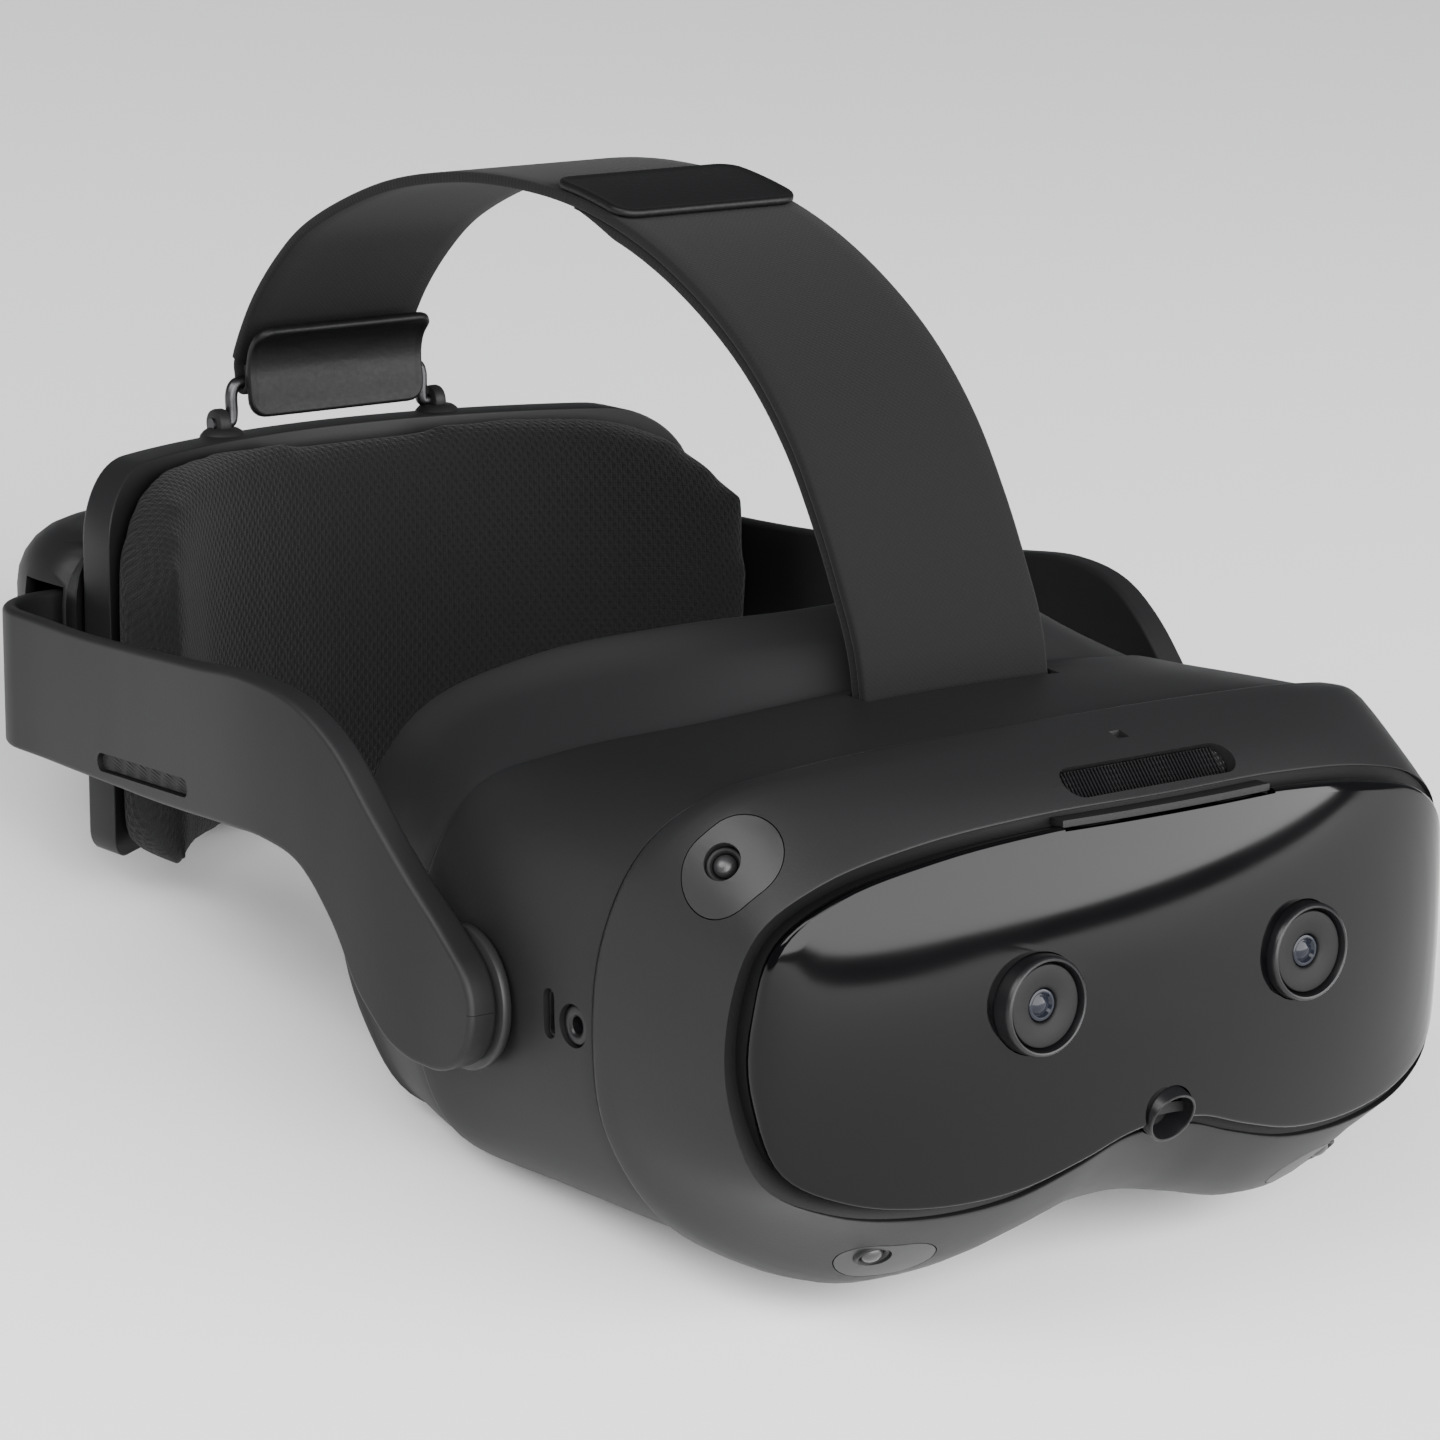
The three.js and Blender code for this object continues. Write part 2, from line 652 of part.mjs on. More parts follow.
function armThicknessAt(y) {
  const share = THREE.MathUtils.clamp((y - pivot.y) / 125, 0, 1);
  return THREE.MathUtils.lerp(armThickness.front, armThickness.rear, share);
}

function armSideView() {
  const startAngle = 2.3;
  const endAngle = -0.85;
  const side = new THREE.Shape();
  side.absarc(pivot.y, pivot.z, pivotRadius, endAngle, startAngle, true);
  side.splineThru(armUpperEdge.map(([y, z]) => new THREE.Vector2(y, z)));
  side.lineTo(230, 39);
  side.lineTo(230, 10);
  side.lineTo(...armLowerEdge[0]);
  side.splineThru(armLowerEdge.slice(1).map(([y, z]) => new THREE.Vector2(y, z)));
  return side;
}

function armPlan() {
  const { x, y, radius, tipX } = armCorner;
  const innerRadius = radius - armThickness.rear;
  const plan = new THREE.Shape();
  plan.moveTo(...armOuterLine[0]);
  for (const [outerX, outerY] of armOuterLine.slice(1)) plan.lineTo(outerX, outerY);
  plan.absarc(x, y, radius, 0, Math.PI / 2, false);
  plan.lineTo(tipX, y + radius);
  plan.lineTo(tipX, y + innerRadius);
  plan.absarc(x, y, innerRadius, Math.PI / 2, 0, true);
  for (const [outerX, outerY] of armOuterLine.toReversed()) plan.lineTo(outerX - armThicknessAt(outerY), outerY);
  return plan;
}

const speaker = { y: 125.5, z: 16, length: 43, radius: 1.9, tilt: -0.065 };

function speakerSlot(grow) {
  const shape = stadium(speaker.length + 2 * grow, speaker.radius + grow);
  return extrude(shape, "x", 85, 110).rotateX(speaker.tilt).translate(0, speaker.y, speaker.z);
}

function arm() {
  const piece = common(extrude(armSideView(), "x", 60, 110), extrude(armPlan(), "z", -40, 50));
  const pinSeat = rodX(pinRadius + GAP, discInnerX, discOuterX + 3.6, pivot.y, pivot.z);
  return cut(piece, speakerSlot(0), pinSeat);
}

function speakerMesh() {
  const front = armOuterLine.map(([x, y]) => [x - 1, y]);
  const back = armOuterLine.map(([x, y]) => [x - 1.8, y]).reverse();
  return common(speakerSlot(-GAP), extrude(polygon([...front, ...back]), "z", 0, 40));
}

function hingeDisc() {
  const disc = rodX(pivotRadius + 1, discInnerX, discOuterX, pivot.y, pivot.z, 28);
  return join(disc, rodX(pinRadius, discInnerX - 9, discOuterX + 3, pivot.y, pivot.z));
}

// ---------------------------------------------------------------- rear module

// A circular arc through (-halfWidth, sideY), (0, middleY) and (halfWidth, sideY), left to right.
function arcAcross(halfWidth, sideY, middleY, steps = 14) {
  const rise = middleY - sideY;
  const radius = (halfWidth ** 2 + rise ** 2) / (2 * rise);
  return Array.from({ length: steps + 1 }, (_, i) => {
    const x = (2 * i / steps - 1) * halfWidth;
    return [x, middleY - radius + Math.sqrt(radius ** 2 - x ** 2)];
  });
}

function planBand(front, back, from, to) {
  return extrude(polygon([...front, ...back.reverse()]), "z", from, to);
}

function frameBand() {
  return planBand(
    arcAcross(frameHalfWidth, frameFront.sideY, frameFront.middleY),
    arcAcross(frameHalfWidth, frameBack.sideY, frameBack.middleY), -40, 90);
}

function bailBoss(side) {
  const { halfWidth, y, z, wireRadius } = bail;
  const middle = side * (halfWidth + 3.3);
  const post = box(middle - 1.5, middle + 1.5, y - 3.2, y + 3.2, z - 7, z);
  const eye = join(post, rodX(3.2, middle - 1.5, middle + 1.5, y, z, 16));
  return cut(eye, rodX(wireRadius + GAP, middle - 4, middle + 4, y, z, 12));
}

function plateOutline(half, bottom, top, topRadius, bottomRadius) {
  const shape = new THREE.Shape();
  shape.moveTo(-half, top - topRadius);
  shape.absarc(topRadius - half, top - topRadius, topRadius, Math.PI, Math.PI / 2, true);
  shape.absarc(half - topRadius, top - topRadius, topRadius, Math.PI / 2, 0, true);
  shape.absarc(half - bottomRadius, bottom + bottomRadius, bottomRadius, 0, -Math.PI / 2, true);
  shape.absarc(bottomRadius - half, bottom + bottomRadius, bottomRadius, -Math.PI / 2, -Math.PI, true);
  return shape;
}

function padFrame() {
  const outline = plateOutline(frameHalfWidth, padBottom, padTop - 1, 16, 5);
  const plate = common(frameBand(), extrude(outline, "y", 150, 240));
  return join(plate, bailBoss(-1), bailBoss(1));
}

function rearPad() {
  const band = planBand(
    arcAcross(padHalfWidth, 145, 193.5),
    arcAcross(padHalfWidth, frameFront.sideY - GAP, frameFront.middleY - GAP), -40, 90);
  return common(band, extrude(plateOutline(padHalfWidth, padBottom + 0.4, padTop, 24, 12), "y", 130, 240));
}

// The housing seen from above, with its front left open-ended.
function housingPlan(inward) {
  const { halfWidth, backY, corner } = housing;
  const half = halfWidth - inward;
  const radius = corner - inward;
  const plan = new THREE.Shape();
  plan.moveTo(-half, 150);
  plan.lineTo(half, 150);
  plan.lineTo(half, backY - corner);
  plan.absarc(half - radius, backY - corner, radius, 0, Math.PI / 2, false);
  plan.absarc(radius - half, backY - corner, radius, Math.PI / 2, Math.PI, false);
  return plan.getPoints(12);
}

// Everything behind the pad frame's back; a negative shift reaches further forward.
function behindFrame(shift) {
  const slope = 0.73;
  const reach = 6;
  const sideY = frameBack.sideY + shift;
  const arc = arcAcross(frameHalfWidth, sideY, frameBack.middleY + shift);
  const end = [frameHalfWidth + reach, sideY - slope * reach];
  return extrude(polygon([[-end[0], end[1]], ...arc, end, [end[0], 260], [-end[0], 260]]), "z", -40, 90);
}

function housingSolid(inward, frontShift) {
  const { bottom, top, bottomEdge, topEdge } = housing;
  const steps = 6;
  const rings = [];
  for (const [level, edge, upward] of [[bottom + inward, bottomEdge, -1], [top - inward, topEdge, 1]]) {
    const radius = edge - inward;
    for (let i = 0; i <= steps; i++) {
      const turn = ((upward > 0 ? i : steps - i) / steps) * (Math.PI / 2);
      const plan = housingPlan(inward + radius * (1 - Math.cos(turn)));
      const z = level - upward * radius * (1 - Math.sin(turn));
      rings.push(plan.map((p) => new THREE.Vector3(p.x, p.y, z)));
    }
  }
  return common(loft(rings), behindFrame(frontShift));
}

// Height of the table, in the wearer's frame, at a distance y behind the cameras.
function tableAt(y) {
  const pitch = THREE.MathUtils.degToRad(restPitch);
  return y * Math.tan(pitch) - standZ / Math.cos(pitch);
}

function chinSolid(inward, frontY) {
  const back = housing.backY - inward;
  const half = chin.halfWidth - inward;
  const side = polygon([
    [frontY, tableAt(frontY) + inward], [back, tableAt(back) + inward], [back, 12], [frontY, 12],
  ]);
  const plan = roundedRectangle(-half, half, frontY - 2 * chin.corner, back, chin.corner - inward);
  return common(extrude(side, "x", -half, half), extrude(plan, "z", -60, 40));
}

function armSlot(side) {
  return box(side > 0 ? 66 : -84, side > 0 ? 84 : -66, 195.2, 211.8, 9, 40.4);
}

function rearHousing() {
  const { wall, backY, top } = housing;
  const shell = join(housingSolid(0, 1), chinSolid(0, chin.frontY));
  const bay = box(
    -battery.halfWidth - GAP, battery.halfWidth + GAP, 230, 250, battery.bottom - GAP, battery.top + GAP);
  const dialHole = rodY(3.4, 225, 250, 0, dial.z);
  const latchHole = box(-8, 8, 225.5, 232.5, 44, 56);
  const armSlots = Object.values(SIDES).map((side) => armSlot(side));
  return cut(
    shell, housingSolid(wall, -8), chinSolid(wall, chin.frontY - 8), bay, dialHole, latchHole, ...armSlots);
}

function batteryPack() {
  const { halfWidth, bottom, top, frontY } = battery;
  return extrude(roundedRectangle(-halfWidth, halfWidth, bottom, top, 4), "y", frontY, housing.backY - 0.4);
}

function batteryLatch() {
  return box(-7.6, 7.6, 226, 232, 47, 51.4);
}

// The two racks lie one behind the other, above and below the dial's pinion.
function rack(side) {
  const bar = dial.pinionRadius + 0.2;
  const upper = [
    [-62, 12.5], [-50, 12.5], [-44, bar], [14, bar], [14, bar + 4], [-42, bar + 4], [-50, 30], [-62, 30],
  ];
  const lower = [
    [-62, 12.5], [-26, 12.5], [-26, -bar - 4], [14, -bar - 4], [14, -bar], [-21, -bar], [-21, 17],
    [-50, 17], [-50, 30], [-62, 30],
  ];
  if (side < 0) return extrude(polygon(upper), "y", 217.2, 218.7);
  return mirrored(extrude(polygon(lower), "y", 219.1, 220.6));
}

function fitDial() {
  const { radius, thickness, z, pinionRadius } = dial;
  const lobes = 24;
  const rim = new THREE.Shape();
  for (let i = 0; i < 2 * lobes; i++) {
    const r = i % 2 ? radius : radius - 0.8;
    const angle = (i * Math.PI) / lobes;
    rim[i ? "lineTo" : "moveTo"](r * Math.cos(angle), r * Math.sin(angle));
  }
  const back = housing.backY + GAP;
  const knob = extrude(rim, "y", back, back + thickness).translate(0, 0, z);
  const shaft = rodY(3, 219, back + 1, 0, z, 20);
  return join(knob, shaft, rodY(pinionRadius, 216.9, 220.9, 0, z));
}

// A wire loop whose two ends turn inward through the bosses on the frame.
function bailLoop() {
  const { halfWidth, y, z, wireRadius, height } = bail;
  const leg = (side) => new THREE.CylinderGeometry(wireRadius, wireRadius, height, 8)
    .rotateX(Math.PI / 2).translate(side * halfWidth, y, z + height / 2);
  const ball = (side, up) => new THREE.SphereGeometry(wireRadius, 8, 6)
    .translate(side * halfWidth, y, z + up);
  const sides = [-1, 1].flatMap((side) => [
    leg(side), ball(side, 0), ball(side, height),
    rodX(wireRadius, halfWidth, halfWidth + 5.4, y, z, 8).scale(side, 1, 1),
  ]);
  return join(rodX(wireRadius, -halfWidth, halfWidth, y, z + height, 8), ...sides);
}

// ---------------------------------------------------------------- top strap

// Outer face of the strap, from the visor's slot over the head to the rear loop, as [y, z].
const strapLine = [
  [-8.2, 38.5], [-5.4, 53], [-0.5, 64.4], [5.8, 76.6], [15, 90.8], [27.5, 103.8], [43.5, 114.7],
  [63.2, 123.7], [85.8, 129.4], [109.7, 131.2], [132, 130], [157, 125.2], [183.8, 114.6], [195.4, 106.4],
  [206.1, 95.5], [213, 84.7], [214.8, 80.4],
];
const strapFold = 0.5; // share of the strap's length that is doubled back on itself
const strapCurve = new THREE.SplineCurve(strapLine.map(([y, z]) => new THREE.Vector2(y, z)));

// A point of the strap's side view, a distance inward of its outer face.
function strapPoint(share, depth) {
  const along = strapCurve.getTangent(share);
  return strapCurve.getPoint(share).addScaledVector(new THREE.Vector2(along.y, -along.x), depth);
}

function strapSpan(from, to, steps, outerDepth, innerDepth) {
  const shares = Array.from({ length: steps + 1 }, (_, i) => from + ((to - from) * i) / steps);
  const outer = shares.map((share) => strapPoint(share, outerDepth));
  const inner = shares.map((share) => strapPoint(share, innerDepth(share))).reverse();
  return extrude(new THREE.Shape([...outer, ...inner]), "x", -strapWidth / 2, strapWidth / 2);
}

function topStrap() {
  return strapSpan(0, 1, 44, 0, (share) => (share < strapFold ? 2 : 1) * webbing);
}

function strapEndPad() {
  return strapSpan(0.459, 0.519, 8, -GAP - 1.6, () => -GAP);
}

function strapTab() {
  const outline = polygon([
    [205.4, 69.6], [207.4, 69.4], [207.6, 75], [208.4, 80.4], [206.8, 85.8], [202, 90.4], [200.6, 88.6],
    [205, 84.4], [206.2, 80.2], [205.6, 75],
  ]);
  return extrude(outline, "x", -strapWidth / 2, strapWidth / 2);
}

// ---------------------------------------------------------------- assembly

const headset = new THREE.Group();

function add(name, geometry, color, roughness = 0.55, metalness = 0) {
  const material = new THREE.MeshStandardMaterial({ color, roughness, metalness });
  const mesh = new THREE.Mesh(outward(merged(geometry)), material);
  mesh.name = name;
  headset.add(mesh);
}

const plastic = 0x2b2b2d;
const darkPlastic = 0x1a1a1c;
const gloss = 0x08080a;
const glass = 0x101418;
const fabric = 0x151517;
const metal = 0x6d6f73;
const steel = 0x9a9ca0;

function sided(geometry, side) {
  return side > 0 ? geometry : mirrored(geometry);
}

add("front_bezel", frontBezel(), plastic);
add("front_window", frontWindow(), gloss, 0.08);
add("window_bridge", windowBridge(), plastic, 0.4);
add("vent_mesh", ventMesh(), darkPlastic, 0.7);
add("front_microphone", frontMicrophone(), darkPlastic, 0.3);
add("depth_sensor_hood", depthHood(), darkPlastic, 0.35);
add("depth_sensor_lens", depthLens(), glass, 0.05);
add("body_shell", bodyShell(), plastic);
add("face_shield", faceShield(), plastic, 0.62);
add("face_cushion", faceCushion(), fabric, 0.9);
add("strap_anchor_bar", strapAnchorBar(), steel, 0.4, 1);
add("usb_c_socket", usbSocket(), steel, 0.35, 1);
add("audio_jack", audioJack(), metal, 0.4, 1);
add("power_button", powerButton(), darkPlastic);
add("volume_rocker", volumeRocker(), darkPlastic);
add("optical_chassis", opticalChassis(), metal, 0.5, 1);
add("ipd_dial", ipdDial(), darkPlastic);
add("mainboard", mainboard(), 0x1d3b2a, 0.5);
add("heat_sink", heatSink(), metal, 0.45, 1);
add("fan_housing", fanHousing(), darkPlastic);
add("fan_rotor", fanRotor(), darkPlastic);
add("proximity_sensor", proximitySensor(), gloss, 0.15);

for (const [name, side] of Object.entries(SIDES)) {
  add(`passthrough_barrel_${name}`, passthroughBarrel(side), darkPlastic, 0.35);
  add(`passthrough_lens_${name}`, passthroughLens(side), glass, 0.05);
  for (const level of ["upper", "lower"]) {
    add(`tracking_insert_${level}_${name}`, sided(trackingInsert(level), side), plastic, 0.45);
    add(`tracking_lens_${level}_${name}`, sided(trackingLens(level), side), glass, 0.05);
  }
  add(`lens_barrel_${name}`, lensBarrel(side), darkPlastic);
  add(`eye_lens_${name}`, eyeLens(side), glass, 0.05);
  add(`display_panel_${name}`, displayPanel(side), gloss, 0.1);
  add(`arm_${name}`, sided(arm(), side), plastic);
  add(`speaker_mesh_${name}`, sided(speakerMesh(), side), darkPlastic, 0.7);
  add(`hinge_disc_${name}`, sided(hingeDisc(), side), plastic, 0.4);
  add(`rack_${name}`, rack(side), darkPlastic);
}

add("pad_frame", padFrame(), plastic);
add("rear_pad", rearPad(), fabric, 0.9);
add("rear_housing", rearHousing(), plastic);
add("battery_pack", batteryPack(), darkPlastic);
add("battery_latch", batteryLatch(), darkPlastic);
add("fit_dial", fitDial(), darkPlastic);
add("bail", bailLoop(), steel, 0.35, 1);
add("top_strap", topStrap(), fabric, 0.85);
add("strap_end_pad", strapEndPad(), darkPlastic, 0.6);
add("strap_tab", strapTab(), darkPlastic, 0.5);

const group = new THREE.Group();
headset.rotation.x = THREE.MathUtils.degToRad(-restPitch);
headset.position.set(0, -standY, standZ);
group.add(headset);

export default group;
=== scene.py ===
"""The finished look of the VR headset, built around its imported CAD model.

Shapes are worked out in the wearer's frame, in millimetres: X to the wearer's left, Y to the back of the
head, Z up, with the origin level with the two front cameras. to_row() carries them into the model's frame.
"""
import json
import math

import bmesh
import bpy
import numpy as np
from mathutils import Matrix, Vector

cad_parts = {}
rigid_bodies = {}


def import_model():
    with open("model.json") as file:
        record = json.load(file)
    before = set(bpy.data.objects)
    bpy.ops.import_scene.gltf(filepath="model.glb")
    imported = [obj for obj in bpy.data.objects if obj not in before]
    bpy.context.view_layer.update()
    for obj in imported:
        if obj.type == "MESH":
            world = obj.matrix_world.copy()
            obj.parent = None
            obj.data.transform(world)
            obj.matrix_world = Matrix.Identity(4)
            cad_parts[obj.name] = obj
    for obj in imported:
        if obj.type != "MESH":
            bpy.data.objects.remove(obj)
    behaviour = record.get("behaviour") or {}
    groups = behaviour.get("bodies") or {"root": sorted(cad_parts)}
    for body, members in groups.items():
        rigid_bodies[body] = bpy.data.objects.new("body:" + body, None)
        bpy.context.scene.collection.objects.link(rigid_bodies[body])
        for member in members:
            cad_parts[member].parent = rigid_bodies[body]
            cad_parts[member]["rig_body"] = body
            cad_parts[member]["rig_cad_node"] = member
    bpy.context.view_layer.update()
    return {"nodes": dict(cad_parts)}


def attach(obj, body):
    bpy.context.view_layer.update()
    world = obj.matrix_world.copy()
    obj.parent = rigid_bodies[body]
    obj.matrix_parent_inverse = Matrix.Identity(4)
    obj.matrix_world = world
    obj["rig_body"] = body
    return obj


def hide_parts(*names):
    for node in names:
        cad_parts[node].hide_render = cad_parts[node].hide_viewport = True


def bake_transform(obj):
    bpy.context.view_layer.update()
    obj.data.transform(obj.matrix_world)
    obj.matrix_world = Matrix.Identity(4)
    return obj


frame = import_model()
nodes = frame["nodes"]

# ---------------- driving dimensions, in millimetres

REST_PITCH = math.radians(10)
STAND_Y = 85
STAND_Z = 57.45

# How the name of a piece that stands for a CAD node ends.
FINE = "_fine"
SIDES = (("left", 1), ("right", -1))
GAP = 0.35
CENTRE_Z = -4
SHELL_WALL = 2.4
RING_STEPS = 6

# The front window, and the channel round it.
WINDOW = dict(half_width=83.6, depth=20.4, edge_y=-50.6, thickness=2.2, rim=0.7)
CHANNEL = dict(depth=4, ledge=5, ledge_back=5.8)
CAMERA_SPACING = 64
EYE_SPACING = 64.5
EYE_LENS_RADIUS = 20.2

# Sensors, slots and bores of the front. Boxes are (x0, x1, y0, y1, z0, z1).
TRACKING = {
    "upper": dict(place=(76.6, -40, 24.6), direction=(0.75, -0.4, 0.53), size=(20.5, 8.2), spin=0.28,
                  lens=(78, -37.6, 25.6), lens_direction=(0.66, -0.6, 0.46), lift=1.2),
    "lower": dict(place=(51.5, -50.5, -49), direction=(0.08, -0.6, -0.8), size=(19, 6.6), spin=0,
                  lens=(55.2, -51.5, -47.9), lens_direction=(0.13, -0.66, -0.74), lift=-1.3),
}
TRACKING_SEAM = 0.22
TRACKING_HOLE = 3.55
HOOD = dict(place=(0, -70.4, -26.8), direction=(0, -0.93, -0.38), radius=5.3, length=11)
VENT = dict(place=(0.4, -60.5, 36.4), direction=(0, -0.76, 0.65), length=41, radius=3.7, ribs=46, pitch=0.8)
MICROPHONE_HOLE = (1, 3.6, -52.4, -49.6, 36, 46)
BRIDGE_SLOT = (-25.4, 25.4, -75, -60, 30.6, 34)
WHEEL_SLOT = (-12, 12, 12.2, 16.8, -50, -36)
CAMERA_BORE = 9.65

# Sockets and keys on the visor's sides, as (y, z).
USB = (1.1, -7.7)
JACK = (-6.2, -8.5)
JACK_RADIUS = 3.95
POWER = (-6, 8)
POWER_RADIUS = 3.2
ROCKER = (3.6, -7)

# Hinge of the arms, as (y, z), and the disc and pin it turns on.
PIVOT = (25.2, -9.2)
PIVOT_RADIUS = 13
DISC_INNER_X = 90.4
DISC_OUTER_X = 92.65
PIN_RADIUS = 3.4
FLANK_X = 89.4

STRAP_WIDTH = 45
WEBBING = 2.3
CLOTH_FRAMES = 20

# Rear module: pad, frame (y at the sides and in the middle), housing, battery door's ribs and wire loop.
PAD = dict(half_width=75, bottom=-15.8, top=67.5, front_side_y=145, front_middle_y=193.5)
FRAME_HALF_WIDTH = 75.5
FRAME_FRONT = (178, 204.5)
FRAME_BACK = (189.5, 214)
HOUSING = dict(half_width=77, bottom=3, top=50, bottom_edge=9, top_edge=13, seam_y=193.6)
GRIP = dict(count=5, bottom=20, pitch=4.5, half_width=30, y=238.2)
BAIL = dict(half_width=24.7, y=210.5, z=68.5, wire=1.4, height=8.6)

CAMERA = dict(turn=37.06, rise=12.29, distance=1060.1, right=40.745, up=-34.977, lens=137.8)

# Outlines of the visor, from the middle of the top down one half to the nose, as (x, y, z).
SEAM = [
    (0, -36, 42.5), (30, -36, 42.4), (58, -34.5, 41), (74.5, -28, 36.5), (84, -20.5, 26.5),
    (88.3, -13.5, 8), (89, -12, -12), (86, -12, -28), (76, -15, -44.5), (58, -19, -54.5),
    (40, -21, -54), (24, -22, -49), (10, -22, -46), (0, -22, -45),
]
SHOULDER = [
    (0, -49, 42.3), (30, -48.5, 42.3), (57.5, -44.5, 41.2), (75.5, -36, 38), (85.2, -28.5, 27.5),
    (89.8, -21.5, 7), (90, -20, -13), (86.5, -20.5, -29), (76, -27, -46), (57, -38, -55.5),
    (38.5, -42, -55.5), (22.5, -43, -51.5), (9.5, -44, -48.5), (0, -44, -48),
]
FACE = [
    (0, -59.5, 38.5), (30, -59, 38.4), (56, -54, 37), (74, -45.5, 33.5), (83.5, -40, 23.5),
    (88, -34.5, 4), (88, -34, -14), (84.3, -35.5, -30), (73.5, -41, -42), (55, -49, -49.5),
    (36, -53, -49.5), (20.5, -55.5, -45.5), (9, -57, -41.5), (0, -57.3, -40.5),
]
OPENING = [
    (0, -66.5, 33.5), (29, -65.3, 33.2), (54, -62.2, 30.6), (72, -57.7, 25.3), (82.2, -52.8, 17),
    (85.4, -48.5, 2), (85.3, -48.3, -14), (81.5, -53.2, -29), (69.5, -58.5, -35.5),
    (52.5, -62.5, -38.2), (34, -65, -37.5), (19.5, -66, -33.8), (8.7, -66.4, -30.2), (0, -66.5, -29.2),
]
WINDOW_LINE = [
    (0, 0, 31.5), (28, 0, 31.2), (52, 0, 28.6), (70.4, 0, 23.4), (80, 0, 15.5), (82.9, 0, 2),
    (82.8, 0, -14), (79, 0, -27), (68, 0, -33.2), (52, 0, -36.1), (34, 0, -35.5), (20, 0, -31.9),
    (9, 0, -28.3), (0, 0, -27.4),
]
CREASE = [
    (0, 1.2, 45), (24, 0.6, 44.2), (50, 6, 41.2), (72, 22, 35.5), (84, 32, 29),
    (89, 42, 10), (90, 44.5, -10), (88.5, 45, -28), (82, 42, -42), (64, 37, -51),
    (44, 33, -51.5), (25, 30, -47.5), (10, 28.5, -44.5), (0, 28, -44),
]
STEP = [
    (0, 8, 53), (20, 9.5, 52.2), (40, 19, 49.8), (58, 43, 43), (70, 59.5, 33.5),
    (77, 70, 12), (80, 74, -8), (80, 73, -26), (76, 66, -40), (60, 56, -48),
    (42, 50, -48.5), (24, 46, -44), (10, 44, -39), (0, 43.5, -38),
]
BRIM = [
    (0, 22, 56.5), (18, 23, 56), (38, 31, 54.5), (56, 54, 47), (69, 75, 33.5),
    (77, 84, 12), (80.5, 85.5, -9), (80, 78, -28), (76, 68, -41), (60, 60, -46),
    (42, 54, -45), (24, 50, -40), (10, 48, -34), (0, 47, -32),
]

# Outer face of the left arm in plan, and the arm's two edges from the side.
ARM_OUTER = [
    (99.5, 8), (99.5, 15), (100, 25), (102.5, 40), (103.5, 52), (104.5, 63), (105, 79),
    (103.5, 99), (100, 128), (98.5, 140), (96.5, 160), (95, 176), (94.5, 185),
]
ARM_UPPER = [
    (16.54, 0.49), (22, 5.4), (29.4, 12.5), (40.6, 24.8), (52.2, 36.1), (63.5, 42.1), (78.9, 44.3), (99, 43),
    (139.5, 40.1), (159.5, 39.2), (190, 38.9), (232, 38.9),
]
ARM_LOWER = [
    (25.2, -22.2), (31, -21.4), (36.5, -18.9), (41, -14.9), (45.6, -10.2), (52.9, 1), (62.7, 10.5),
    (74.5, 13.3), (88, 13.2), (128, 11), (187, 9.5), (232, 9.3),
]
ARM_CORNER = dict(x=76.5, y=185, radius=18, tip_x=68)
# Thickness at the hinge and beyond the reach, edge rounding, and the speaker's slot in each arm.
ARM_THICKNESS = dict(pivot=6.5, rear=3.4, reach=125)
ARM_EDGE = 1.3
SPEAKER = dict(y=125.5, z=16, length=43, radius=1.9, tilt=-0.065)

# Outer face of the strap from the side, from the slot in the visor to the rear loop, as (y, z).
STRAP = [
    (-8.2, 38.5), (-5.4, 53), (-0.5, 64.4), (5.8, 76.6), (15, 90.8), (27.5, 103.8), (43.5, 114.7),
    (63.2, 123.7), (85.8, 129.4), (109.7, 131.2), (132, 130), (157, 125.2), (183.8, 114.6),
    (195.4, 106.4), (206.1, 95.5), (213, 84.7), (214.8, 80.4),
]
# Pairs of (y, z) given for where the strap would bend from one body to the next; blended() does not use
# them.
STRAP_BENDS = dict(
    front=((-5, 50), (98, 131)), rear=((112, 131), (205, 96)),
    loop=((213, 84), (211, 77)), tab=((208, 85), (207, 76)))
# The gripping tab from the side, as (y, z).
TAB = [(206.4, 69.6), (206.8, 75), (207.3, 80.2), (205.9, 85), (201.4, 89.4)]

# ---------------- curves


def to_row(points):
    """Millimetres in the wearer's frame to metres in the model's frame."""
    x, y, z = np.moveaxis(np.asarray(points, float), -1, 0)
    back = y * math.cos(REST_PITCH) + z * math.sin(REST_PITCH) - STAND_Y
    up = -y * math.sin(REST_PITCH) + z * math.cos(REST_PITCH) + STAND_Z
    return np.stack([x, back, up], -1) / 1000


def turn_to_row(direction):
    """A direction in the wearer's frame, in the model's frame."""
    return Vector(to_row(direction) - to_row((0, 0, 0))).normalized()


